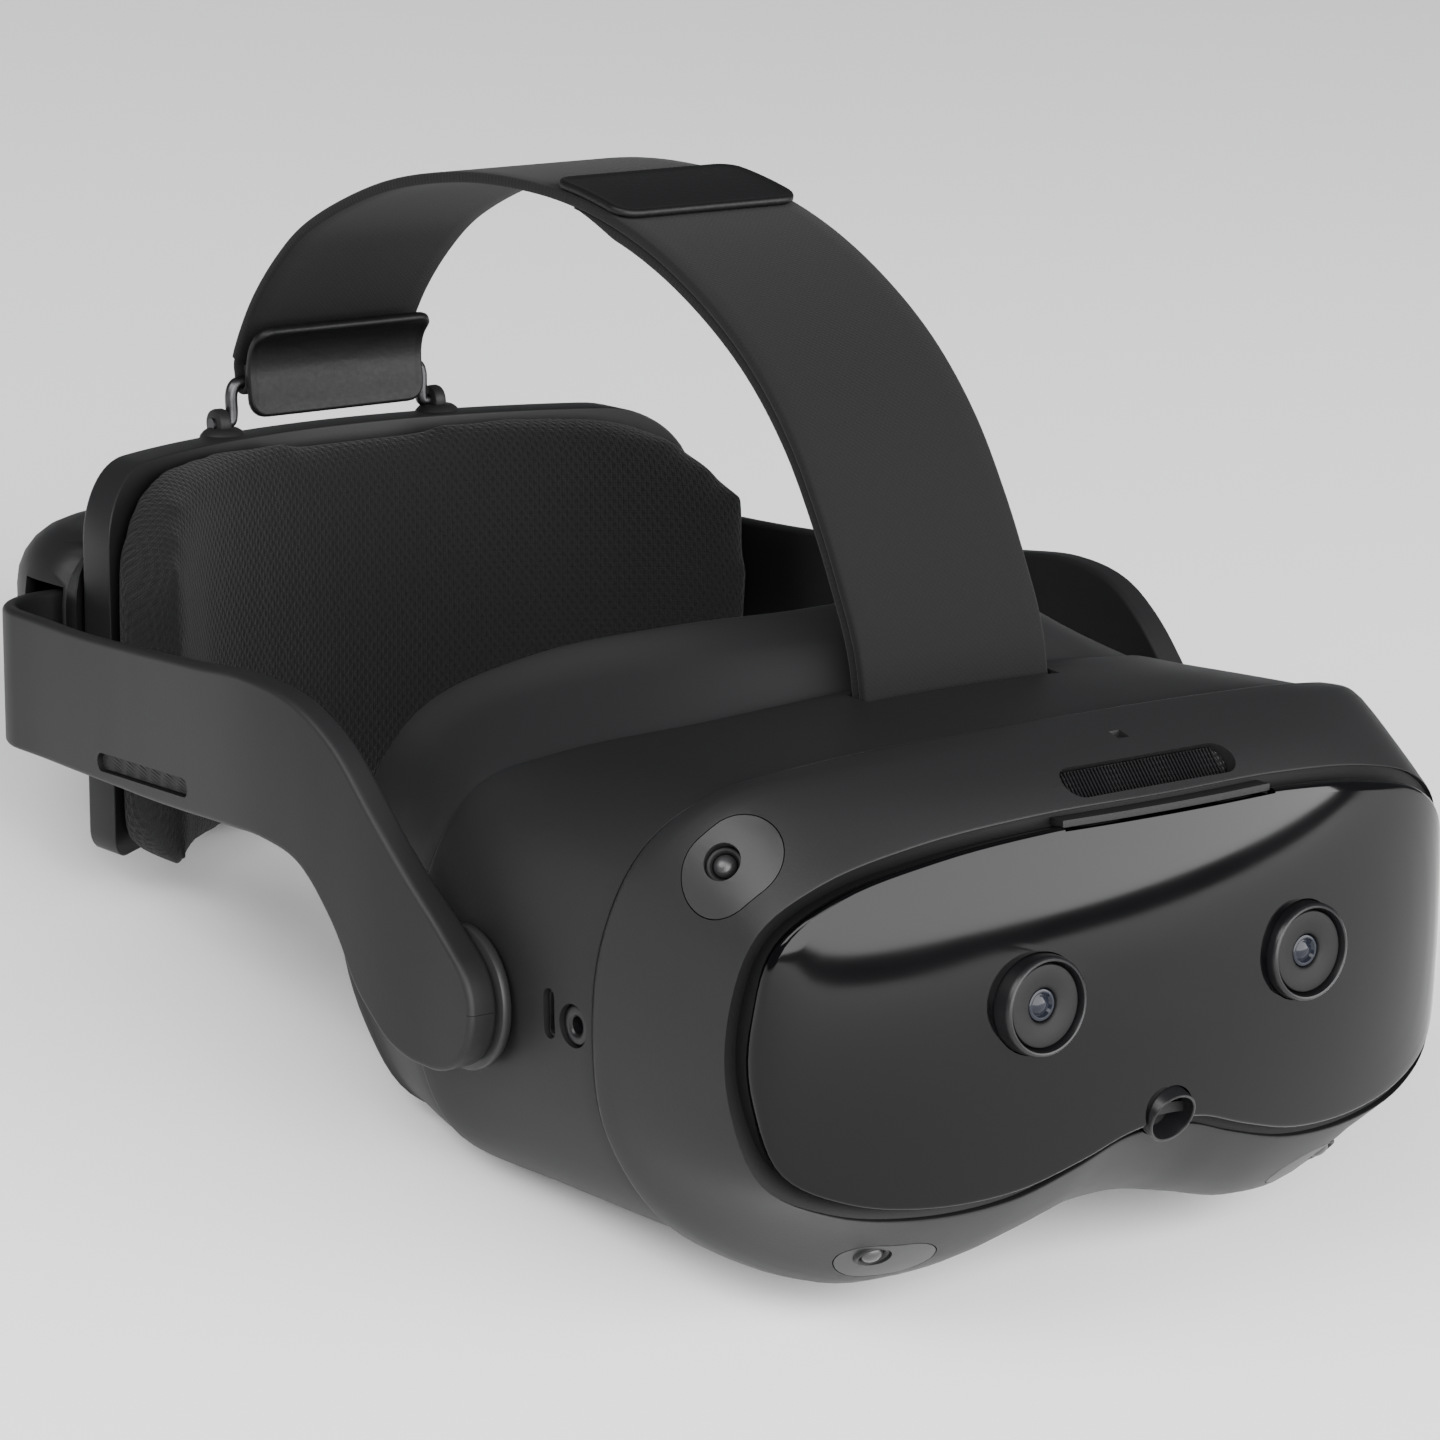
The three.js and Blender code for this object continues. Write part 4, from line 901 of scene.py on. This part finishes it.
def build_front_cameras():
    barrel = [
        (7.9, 57), (9.4, 57), (9.4, 71.2), (9.3, 71.8), (9.05, 72.2), (8.75, 72.35), (8.45, 72.25),
        (8.3, 71.9), (8.2, 71.2), (7.9, 70.2), (7.9, 57),
    ]
    plate_profile = [
        (3.2, 60), (7.75, 60), (7.75, 71.0), (7.6, 71.3), (7.3, 71.4), (5.2, 71.15), (4, 70.9), (3.5, 70.75),
        (3.25, 70.5), (3.2, 70), (3.2, 60),
    ]
    eye = [
        (0, 59), (3.0, 59), (3.0, 70.0), (2.95, 70.35), (2.7, 70.5), (2.35, 70.45), (2.1, 70.15),
        (1.9, 69.9), (1.7, 70), (1.3, 70.3), (0.7, 70.5), (0, 70.55),
    ]
    for side, sign in SIDES:
        place = (sign * CAMERA_SPACING / 2, 0, 0)
        tube = lathe(f"passthrough_barrel_{side}_fine", barrel, (0, -1, 0), place, 96, 40)
        finish(tube, "trim_dark", "visor")
        dish = lathe(f"passthrough_face_{side}", plate_profile, (0, -1, 0), place, 96, 40)
        finish(dish, "channel", "visor")
        lens = lathe(f"passthrough_lens_{side}_fine", eye, (0, -1, 0), place, 64, 40)
        finish(lens, "lens", "visor")


def build_hood():
    r, length = HOOD["radius"], HOOD["length"]
    profile = [
        (r - 1.2, -length), (r, -length), (r, -0.3), (r - 0.12, -0.08), (r - 0.35, 0), (r - 0.6, -0.1),
        (r - 0.7, -0.4), (r - 0.75, -length + 3), (r - 1.2, -length + 3), (r - 1.2, -length),
    ]
    hood = lathe("depth_sensor_hood_fine", profile, HOOD["direction"], HOOD["place"], 80, 40)
    finish(hood, "trim_dark", "visor")


def build_vent():
    """The row of upright ribs in the brow slot's grille, in front of its backing mesh, the CAD's vent_mesh.
    """
    u, v, w = tool_axes(VENT["direction"])
    height, half_width, straight = 3.2, 0.16, 17
    parts = []
    for i in range(VENT["ribs"]):
        shift = (i - (VENT["ribs"] - 1) / 2) * VENT["pitch"]
        past = max(0, abs(shift) - straight) / 3.3
        reach = height * math.sqrt(max(0.05, 1 - past**2))
        corners = [(-half_width, -reach), (half_width, -reach), (half_width, reach), (-half_width, reach)]
        base = np.array([np.array(VENT["place"]) + u * (shift + a) + v * b for a, b in corners])
        parts.append(skin(f"vent_rib_{i}", [base - w * 1.15, base - w * 0.75], closed=False))
    joined(parts, "vent_ribs")
    finish(parts[0], "trim_dark", "visor")


def joined(parts, name):
    """Joins pieces into the first one."""
    bm = bmesh.new()
    for part in parts:
        bm.from_mesh(part.data)
    bm.to_mesh(parts[0].data)
    bm.free()
    for part in parts[1:]:
        bpy.data.objects.remove(part)
    parts[0].name = name
    return parts[0]


# ---------------- visor, shells

def build_body():
    front = inset(seam, 0, GAP)
    waist = blend_rings(front, crease, 0.36, -0.1)
    flank = blend_rings(front, crease, 0.74, 0.1)
    body = skin("body_shell_fine", profile_rows([
        (front, 0.35), (waist, None), (flank, None), (crease, 1.2), (inset(crease, SHELL_WALL), 0.6),
        (inset(flank, SHELL_WALL), None), (inset(waist, SHELL_WALL), None), (inset(front, SHELL_WALL), 0.4),
    ]))
    half = STRAP_WIDTH / 2 + 0.8
    slot = stadium(9.6, 1.7, 16)
    rocker = stadium(16, 2.9, 16)
    tools = [
        box_tool(-half, half, -9.8, -1.9, 36, 52),
        turned_prism("tool", slot[:, ::-1], (1, 0, 0), (-100, *USB), 0, 30, math.pi / 2),
        bore(JACK_RADIUS + 0.2, 0, 30, (1, 0, 0), (-100, *JACK)),
        bore(POWER_RADIUS + 0.3, 0, 30, (1, 0, 0), (70, *POWER)),
        turned_prism("tool", rocker[:, ::-1], (1, 0, 0), (70, *ROCKER), 0, 30, math.pi / 2),
        bore(PIN_RADIUS + GAP, 0, 200, (1, 0, 0), (-100, *PIVOT), 40),
        box_tool(*WHEEL_SLOT),
    ]
    finish(carve(body, tools), "shell", "visor")


def build_shield():
    start = inset(crease, 1.4, -1.6)
    shield = skin("face_shield_fine", profile_rows([
        (start, 0.3), (inset(crease, 0.9, 1), None), (step_ring, 3.5), (brim, 1.6),
        (inset(brim, 4.6, 0.3), 1.6),
        (inset(step_ring, 4, 1.5), None), (inset(start, 3.2, 2), 0.3),
    ], 4))
    finish(shield, "shell_soft", "visor")


def build_face_cushion():
    """The knitted foam ring that rests on the face, plump at the back and flat against the shield."""
    rows = spline([
        inset(brim, 8, 1.2), inset(brim, 7.6, 4), inset(brim, 9, 7.6), inset(brim, 12.5, 9.4),
        inset(brim, 16.5, 8.6), inset(brim, 19.2, 5.2), inset(brim, 19.6, 1.8), inset(brim, 14, 0.9),
    ], 4, closed=True)
    cushion = skin("face_cushion_fine", rows, angle=70)
    count = rows.shape[1]
    around = np.linspace(0, 420, count, endpoint=False)
    weave = [(a, 42 * i / len(rows), 0) for i in range(len(rows)) for a in around]
    cloth_map(cushion, weave)
    finish(cushion, "knit", "face_pad")


def build_keys():
    cap = [(0, 0), (POWER_RADIUS, 0), (POWER_RADIUS, 6.3), (3.05, 6.6), (2.7, 6.8), (1.4, 6.85), (0, 6.8)]
    button = lathe("power_button_fine", cap, (1, 0, 0), (FLANK_X - 6, *POWER), 48, 40)
    finish(button, "trim_dark", "power_key")
    finish(refined("volume_rocker", 0.5, 3), "trim_dark", "volume_key")
    finish(refined("usb_c_socket", 0.1), "steel", "visor")
    jack = [
        (0, 3), (1.7, 3), (1.7, 6.7), (2, 7.05), (2.5, 7.2), (3.4, 7.15), (3.75, 6.95),
        (JACK_RADIUS, 6.5), (JACK_RADIUS, 0), (0, 0),
    ]
    socket = lathe("audio_jack_fine", jack, (-1, 0, 0), (-FLANK_X + 7.9, *JACK), 56, 40)
    finish(socket, "trim_dark", "visor")


def build_eye_side():
    r = EYE_LENS_RADIUS
    lens = [
        (0, 1.6), (r * 0.3, 1.65), (r * 0.6, 1.8), (r * 0.85, 2.2), (r, 2.6), (r, 4.4), (r * 0.9, 5.2),
        (r * 0.75, 6.2), (r * 0.55, 7.1), (r * 0.3, 7.8), (0, 8),
    ]
    for side, sign in SIDES:
        body = f"eye_unit_{side}"
        place = (sign * EYE_SPACING / 2, 0, 0)
        glass = lathe(f"eye_lens_{side}_fine", lens, (0, 1, 0), place, 80, 40)
        finish(glass, "eye_lens", body)
        finish(refined(f"lens_barrel_{side}", 0.4), "trim_dark", body)
    finish(refined("ipd_dial", 0.25), "trim_dark", "ipd_wheel")
    finish(refined("optical_chassis", 0.4), "aluminium", "visor")


# ---------------- arms


def arm_side_view():
    """The arm's two edges from the side as (distance, height, outward direction), nose to tail."""
    along, high = PIVOT
    reach = ARM_CORNER["y"] + ARM_CORNER["radius"] * math.pi / 2 + ARM_CORNER["x"] - ARM_CORNER["tip_x"]
    nose = along - PIVOT_RADIUS * np.cos(np.linspace(0.003, math.pi / 2, 34))
    distances = np.concatenate([nose, np.linspace(along + 1, reach, 170)])
    edges = []
    for outline, sign in ((ARM_UPPER, 1), (ARM_LOWER, -1)):
        fine = spline(outline, 12)
        heights = np.interp(distances, fine[:, 0], fine[:, 1])
        on_disc = distances < outline[0][0]
        from_pivot = np.clip(distances - along, -PIVOT_RADIUS, PIVOT_RADIUS)
        heights[on_disc] = (high + sign * np.sqrt(PIVOT_RADIUS**2 - from_pivot**2))[on_disc]
        slope = np.gradient(heights, distances)
        out = np.stack([-sign * slope, np.full_like(slope, sign)], -1)
        out /= np.linalg.norm(out, axis=1, keepdims=True)
        radial = np.stack([from_pivot, heights - high], -1) / PIVOT_RADIUS
        out[on_disc] = radial[on_disc]
        edges.append((np.stack([distances, heights], -1), out))
    return edges


def arm_points(flat, share, extra, outer):
    """Places (distance, height) points of the arm's side view, wrapped round the rear corner, at a share
    of the way from its outer face to its inner one, plus some millimetres."""
    corner = ARM_CORNER
    distance, height = flat[:, 0], flat[:, 1]
    turn = np.clip((distance - corner["y"]) / corner["radius"], 0, math.pi / 2)
    past = np.maximum(distance - corner["y"] - corner["radius"] * math.pi / 2, 0)
    side_x = np.interp(distance, outer[:, 1], outer[:, 0])
    ahead = np.interp(distance + 1, outer[:, 1], outer[:, 0]) - side_x
    straight = distance <= corner["y"]
    normal = np.where(straight[:, None], np.stack([np.ones_like(ahead), -ahead], -1),
                      np.stack([np.cos(turn), np.sin(turn)], -1))
    normal /= np.linalg.norm(normal, axis=1, keepdims=True)
    bent = np.array([corner["x"], corner["y"]]) + corner["radius"] * normal - np.stack([past, 0 * past], -1)
    place = np.where(straight[:, None], np.stack([side_x, distance], -1), bent)
    thinned = np.clip((distance - PIVOT[0]) / ARM_THICKNESS["reach"], 0, 1)
    thickness = ARM_THICKNESS["pivot"] + (ARM_THICKNESS["rear"] - ARM_THICKNESS["pivot"]) * thinned
    below = share * thickness + extra
    return np.stack([place[:, 0] - normal[:, 0] * below, place[:, 1] - normal[:, 1] * below, height], -1)


def arm_rows():
    """Sections of the arm from nose to tail, with all four edges rounded."""
    outer = spline(ARM_OUTER, 8)
    upper, lower = arm_side_view()
    quarter = np.linspace(0, math.pi / 2, 6)
    corners = (
        (upper, 0, quarter), (upper, 1, quarter[::-1]), (lower, 1, quarter), (lower, 0, quarter[::-1]))
    columns = []
    for (line, out), share, turns in corners:
        inward = 1 if share == 0 else -1
        for turn in turns:
            flat = line - out * ARM_EDGE * (1 - math.sin(turn))
            columns.append(arm_points(flat, share, inward * ARM_EDGE * (1 - math.cos(turn)), outer))
    return np.stack(columns, axis=1)


def build_arms():
    arm = skin("arm_left_fine", arm_rows(), closed=False, angle=40)
    along, across = stadium(SPEAKER["length"], SPEAKER["radius"], 20).T
    cosine, sine = math.cos(SPEAKER["tilt"]), math.sin(SPEAKER["tilt"])
    base = np.stack([np.full_like(along, 85), SPEAKER["y"] + along * cosine - across * sine,
                     SPEAKER["z"] + along * sine + across * cosine], -1)
    tool = skin("tool", [base, base + (25, 0, 0)], closed=False)
    seat = bore(PIN_RADIUS + GAP, 0, 7, (1, 0, 0), (89, *PIVOT), 40)
    carve(arm, [tool, seat], angle=40)
    finish(mirrored(arm, "arm_right_fine"), "shell", "arms")
    finish(arm, "shell", "arms")
    disc = [
        (0, DISC_INNER_X), (13.4, DISC_INNER_X), (13.85, DISC_INNER_X + 0.3), (14, DISC_INNER_X + 0.8),
        (14, DISC_OUTER_X - 0.6), (13.8, DISC_OUTER_X - 0.15), (13.4, DISC_OUTER_X),
        (PIN_RADIUS, DISC_OUTER_X), (PIN_RADIUS, DISC_OUTER_X + 3), (0, DISC_OUTER_X + 3),
    ]
    pin = [(0, DISC_INNER_X - 9), (PIN_RADIUS - 0.4, DISC_INNER_X - 9), (PIN_RADIUS, DISC_INNER_X - 8.6),
           (PIN_RADIUS, DISC_INNER_X + 0.5), (0, DISC_INNER_X + 0.5)]
    for side, sign in SIDES:
        plate_part = lathe(f"hinge_disc_{side}_fine", disc, (sign, 0, 0), (0, *PIVOT), 96, 40)
        pin_part = lathe(f"hinge_pin_{side}", pin, (sign, 0, 0), (0, *PIVOT), 48, 40)
        finish(plate_part, "insert", "arms")
        finish(pin_part, "insert", "arms")


# ---------------- rear module


def frame_front(x, z):
    return arc_y(x, FRAME_HALF_WIDTH, *FRAME_FRONT)


def frame_back(x, z):
    return arc_y(x, FRAME_HALF_WIDTH, *FRAME_BACK)


def pad_front(x, z):
    return arc_y(x, PAD["half_width"], PAD["front_side_y"], PAD["front_middle_y"])


def build_frame():
    half = FRAME_HALF_WIDTH
    outline = even_outline(rounded_rectangle(-half, half, PAD["bottom"], PAD["top"] - 1, (16, 5), 18))
    base = plate("pad_frame_fine", outline, frame_front, frame_back, (0.5, 1.6), middle=(0, 25))
    finish(base, "shell", "rear_module")
    lug = [(0, -1.5), (2.6, -1.5), (3.1, -1.3), (3.3, -0.8), (3.3, 0.8), (3.1, 1.3), (2.6, 1.5), (0, 1.5)]
    foot = [(0, 0), (5.2, 0), (4.9, 0.9), (4.2, 1.7), (3.4, 2.2), (0, 2.4)]
    for side, sign in SIDES:
        middle = sign * (BAIL["half_width"] + 3.3)
        eye = lathe(f"bail_lug_{side}", lug, (1, 0, 0), (middle, BAIL["y"], BAIL["z"]), 40, 40)
        place = (middle, BAIL["y"] - 1.5, PAD["top"] - 2)
        cone = lathe(f"bail_lug_foot_{side}", foot, (0, 0, 1), place, 40, 40)
        finish(eye, "shell", "rear_module")
        finish(cone, "shell", "rear_module")


def pad_weave(piece):
    points = from_row(points_of(piece))
    half, side, mid = PAD["half_width"], PAD["front_side_y"], PAD["front_middle_y"]
    rise = mid - side
    radius = (half**2 + rise**2) / (2 * rise)
    turn = np.arcsin(np.clip(points[:, 0] / radius, -1, 1))
    depth = points[:, 1] - arc_y(points[:, 0], half, side, mid)
    cloth_map(piece, np.stack([turn * radius, points[:, 2] + 0.5 * depth, depth], -1))


def swell(piece, pressure, cap, voxel=4.5):
    """Inflates a pad a little as cloth over foam, and holds every point within a cap, in millimetres."""
    modified(piece, "REMESH", mode="VOXEL", voxel_size=voxel / 1000)
    start = points_of(piece)
    cloth = piece.modifiers.new("cloth", "CLOTH")
    cloth.settings.use_pressure = True
    cloth.settings.uniform_pressure_force = pressure
    cloth.settings.effector_weights.gravity = 0
    cloth.settings.tension_stiffness = 25
    cloth.settings.compression_stiffness = 25
    cloth.settings.bending_stiffness = 6
    cloth.point_cache.frame_start = 1
    cloth.point_cache.frame_end = CLOTH_FRAMES
    for number in range(1, CLOTH_FRAMES + 1):
        bpy.context.scene.frame_set(number)
    applied(piece)
    bpy.context.scene.frame_set(1)
    moved = points_of(piece) - start
    reach = np.linalg.norm(moved, axis=1, keepdims=True)
    moved *= np.minimum(1, cap / 1000 / np.maximum(reach, 1e-9))
    piece.data.vertices.foreach_set("co", (start + moved).ravel())
    return modified(piece, "SMOOTH", factor=0.5, iterations=8)


def build_rear_pad():
    half = PAD["half_width"] - 0.3
    outline = even_outline(
        rounded_rectangle(-half, half, PAD["bottom"] + 0.8, PAD["top"] - 1.4, (24, 5), 18))
    pad = plate("rear_pad_fine", outline, lambda x, z: pad_front(x, z) + 1.2,
                lambda x, z: frame_front(x, z) - 0.6, (5.5, 0.8), (0.96, 0.88, 0.76, 0.6, 0.42, 0.2),
                (0, 25), 60)
    swell(pad, 1.2, 1.2, 4)
    modified(pad, "SUBSURF", levels=1)
    tidy(pad, 70)
    pad_weave(pad)
    finish(pad, "knit", "head_pad")


def build_housing():
    housing = refined("rear_housing", 0, angle=40)
    sizes = HOUSING
    half = sizes["half_width"]
    section = even_outline(rounded_rectangle(
        -half, half, sizes["bottom"], sizes["top"], (sizes["top_edge"], sizes["bottom_edge"]), 14))
    rings = []
    for line, y in ((shrink(section, -1.5), 0), (shrink(section, -1.5), 0.4), (shrink(section, 0.5), 0.4),
                    (shrink(section, 0.5), 0)):
        rings.append([(x, sizes["seam_y"] + y, z) for x, z in line])
    finish(carve(housing, [skin("tool", rings)], angle=40), "shell", "rear_module")
    finish(refined("battery_pack", 0.9, 3), "shell_soft", "battery")
    finish(refined("battery_latch", 0.5, 3), "trim_dark", "latch_key")
    finish(refined("fit_dial", 0.3), "trim_dark", "adjuster")
    ridge = [(0, -1.2), (0.9, -0.8), (1.1, 0), (0.9, 0.8), (0, 1.2)]
    for i in range(GRIP["count"]):
        z = GRIP["bottom"] + i * GRIP["pitch"]
        ends = np.linspace(-GRIP["half_width"], GRIP["half_width"], 3)
        rows = [[(x, GRIP["y"] + a, z + b) for a, b in ridge] for x in ends]
        finish(skin(f"battery_grip_{i}", rows, closed=False), "shell_soft", "battery")


def build_bail():
    """The wire loop: up one leg, across, down the other, with the ends turned out through the lugs."""
    half, y, z, height = BAIL["half_width"], BAIL["y"], BAIL["z"], BAIL["height"]
    bend = 2.4
    path = [
        (half + 5.4, z), (half + 2, z), (half + 0.4, z + 0.3), (half, z + 1.8), (half, z + height - bend),
        (half - 0.7, z + height - 0.7), (half - bend, z + height)]
    path += [(-x, h) for x, h in path[::-1]]
    line = spline(np.array([(x, y, h) for x, h in path]), 6)
    wire = tube("bail_fine", line, BAIL["wire"])
    finish(wire, "steel", "strap_loop")


def tube(name, line, radius, sides=16):
    along = np.gradient(line, axis=0)
    along /= np.linalg.norm(along, axis=1, keepdims=True)
    rows = []
    for place, direction in zip(line, along):
        side = np.array([0.0, 1.0, 0.0])
        other = np.cross(direction, side)
        turn = np.linspace(0, 2 * math.pi, sides, endpoint=False)[:, None]
        rows.append(place + radius * (np.cos(turn) * side + np.sin(turn) * other))
    return skin(name, rows, closed=False, angle=60)


# ---------------- top strap


def strap_curve(start, end, count):
    """Points of the strap's outer face between two shares of its outline."""
    fine = spline(STRAP, 24)
    marks = np.linspace(start, end, count) * (len(fine) - 1)
    spots = np.arange(len(fine))
    return np.stack([np.interp(marks, spots, fine[:, k]) for k in range(2)], -1)


def patch(name, curve, half_width, lift, thickness, radius):
    """A tab with rounded corners that lies along a (y, z) curve, lifted off it."""
    length, outward = along_curve(curve)
    total = length[-1]
    outline = even_outline(rounded_rectangle(0, total, -half_width, half_width, (radius, radius), 10), 1.2)

    def lay(flat, height):
        y, z = (np.interp(flat[:, 0], length, curve[:, k]) for k in range(2))
        out_y, out_z = (np.interp(flat[:, 0], length, outward[:, k]) for k in range(2))
        return np.stack([flat[:, 1], y + out_y * height, z + out_z * height], -1)

    middle = np.array([total / 2, 0])
    edge = min(0.8, thickness * 0.45)
    rows = [lay(middle + (outline - middle) * share, lift) for share in (0.15, 0.4, 0.65, 0.85)]
    rows += [lay(shrink(outline, edge * 0.5), lift), lay(outline, lift + edge * 0.5)]
    top = lift + thickness
    rows += [lay(shrink(outline, edge * (1 - math.cos(t))), top - edge * (1 - math.sin(t)))
             for t in np.linspace(0, math.pi / 2, 5)]
    panel = shrink(outline, edge + 1.6)
    rows += [lay(shrink(outline, edge + 0.9), top - 0.25), lay(panel, top - 0.3)]
    rows += [lay(middle + (panel - middle) * share, top - 0.3) for share in (0.8, 0.6, 0.35, 0.12)]
    return skin(name, rows, closed=False, angle=50)


def blended(piece, first, last, start, end):
    """Bakes a piece's placement into its mesh; it does not bend the piece, and the bodies and places it is
    given are not used.
    """
    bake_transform(piece)


def build_strap():
    front_outer = ribbon("top_strap_front_outer", strap_curve(0, 0.505, 90), STRAP_WIDTH, 0, WEBBING - 0.15)
    front_inner = ribbon("top_strap_front_inner", strap_curve(0, 0.5, 90), STRAP_WIDTH - 0.6,
                         WEBBING - 0.1, 2 * WEBBING, taper=14)
    rear_line = strap_curve(0.5, 0.97, 90)
    rear = ribbon("top_strap_rear", rear_line, STRAP_WIDTH - 0.3, 0.02, WEBBING)
    for piece in (front_outer, front_inner):
        finish(piece, "webbing", None, "top_strap")
        blended(piece, "visor", "arms", *STRAP_BENDS["front"])
    finish(rear, "webbing", None, "top_strap")
    blended(rear, "arms", "rear_module", *STRAP_BENDS["rear"])
    bar_y, bar_z = BAIL["y"], BAIL["z"] + BAIL["height"]
    around = [(213, 84.7), (214.5, 81)]
    radius = BAIL["wire"] + 2.3
    for turn in np.radians((10, -30, -70, -110, -150, -185)):
        around.append((bar_y + radius * math.cos(turn), bar_z + radius * math.sin(turn)))
    around.append((bar_y - radius + 0.2, bar_z + 4))
    loop = ribbon("top_strap_loop", spline(around, 6), STRAP_WIDTH - 0.6, 0.9, WEBBING - 0.1, 0.4)
    finish(loop, "webbing", None, "top_strap")
    blended(loop, "rear_module", "strap_loop", *STRAP_BENDS["loop"])
    pad = patch("strap_end_pad_fine", strap_curve(0.457, 0.522, 30), STRAP_WIDTH / 2 - 0.2, GAP, 1.7, 4.5)
    finish(pad, "tab", None)
    blended(pad, "visor", "arms", *STRAP_BENDS["front"])
    tab_line = spline(TAB, 8)
    tab = patch("strap_tab_fine", tab_line, STRAP_WIDTH / 2, -1.0, 2.0, 4)
    finish(tab, "tab", None)
    blended(tab, "rear_module", "strap_loop", *STRAP_BENDS["tab"])


# ---------------- the rest of the CAD nodes

CARRIED = {
    "shell": ["window_bridge"],
    "trim_dark": ["fan_housing", "fan_rotor", "rack_right", "rack_left"],
    "mesh": ["vent_mesh", "front_microphone", "speaker_mesh_right", "speaker_mesh_left"],
    "lens": ["depth_sensor_lens"], "steel": ["strap_anchor_bar"],
    "aluminium": ["heat_sink"], "board": ["mainboard"],
    "window": ["proximity_sensor", "display_panel_right", "display_panel_left"],
}


def paint_carried_nodes():
    for slot, names in CARRIED.items():
        for name in names:
            nodes[name].data.materials.clear()
            nodes[name].data.materials.append(MATERIALS[slot])


# ---------------- camera, floor and light


def build_camera():
    turn, rise = math.radians(CAMERA["turn"]), math.radians(CAMERA["rise"])
    right = np.array([math.cos(turn), -math.sin(turn), 0])
    up = np.array([math.sin(turn) * math.sin(rise), math.cos(turn) * math.sin(rise), math.cos(rise)])
    ahead = np.array([math.sin(turn) * math.cos(rise), math.cos(turn) * math.cos(rise), -math.sin(rise)])
    place = -(CAMERA["right"] * right + CAMERA["up"] * up + CAMERA["distance"] * ahead)
    data = bpy.data.cameras.new("camera")
    data.lens = CAMERA["lens"]
    data.sensor_width = 36
    data.clip_end = 20
    camera = placed("camera", data)
    axes = [turn_to_row(right), turn_to_row(up), turn_to_row(-ahead)]
    basis = Matrix(axes).transposed().to_4x4()
    camera.matrix_world = Matrix.Translation(Vector(to_row(place))) @ basis
    bpy.context.scene.camera = camera


def area_light(name, place, target, size, power):
    data = bpy.data.lights.new(name, "AREA")
    data.shape = "RECTANGLE"
    data.size, data.size_y = size
    data.energy = power
    light = placed(name, data)
    place, target = Vector(place), Vector(target)
    turn = (place - target).to_track_quat("Z", "Y").to_matrix().to_4x4()
    light.matrix_world = Matrix.Translation(place) @ turn


def build_studio():
    floor_data = bpy.data.meshes.new("floor")
    reach = 6
    corners = [(-reach, -reach, 0), (reach, -reach, 0), (reach, reach, 0), (-reach, reach, 0)]
    floor_data.from_pydata(corners, [], [(0, 1, 2, 3)])
    floor = placed("floor", floor_data)
    surface = Shader("floor", (0.86, 0.86, 0.86), 0.9)
    surface.tint(surface.noise(2, 2), 0.98, 1.02)
    floor_data.materials.append(surface.material)
    world = bpy.data.worlds.new("studio")
    world.use_nodes = True
    background = world.node_tree.nodes["Background"].inputs
    background["Color"].default_value = (0.95, 0.97, 1, 1)
    background["Strength"].default_value = 0.21
    bpy.context.scene.world = world
    # Each light's name, place, target, size and power, in metres and watts.
    area_light("key", (0.3, -1.6, 0.93), (0.3, 0, 0.93), (4.2, 1.74), 215)
    area_light("high left", (-1.3, -0.9, 1.6), (0, 0, 0.1), (0.9, 0.9), 16)
    area_light("left", (-1.5, 0, 1.2), (0, 0, 0.08), (1, 1), 30)


for build in (
    build_camera, build_studio, build_bezel, build_tracking_lenses, build_window, build_channel,
    build_front_cameras, build_hood, build_vent, build_body, build_shield, build_face_cushion,
    build_keys, build_eye_side, build_arms, build_frame, build_rear_pad, build_housing, build_bail,
    build_strap, paint_carried_nodes,
):
    build()
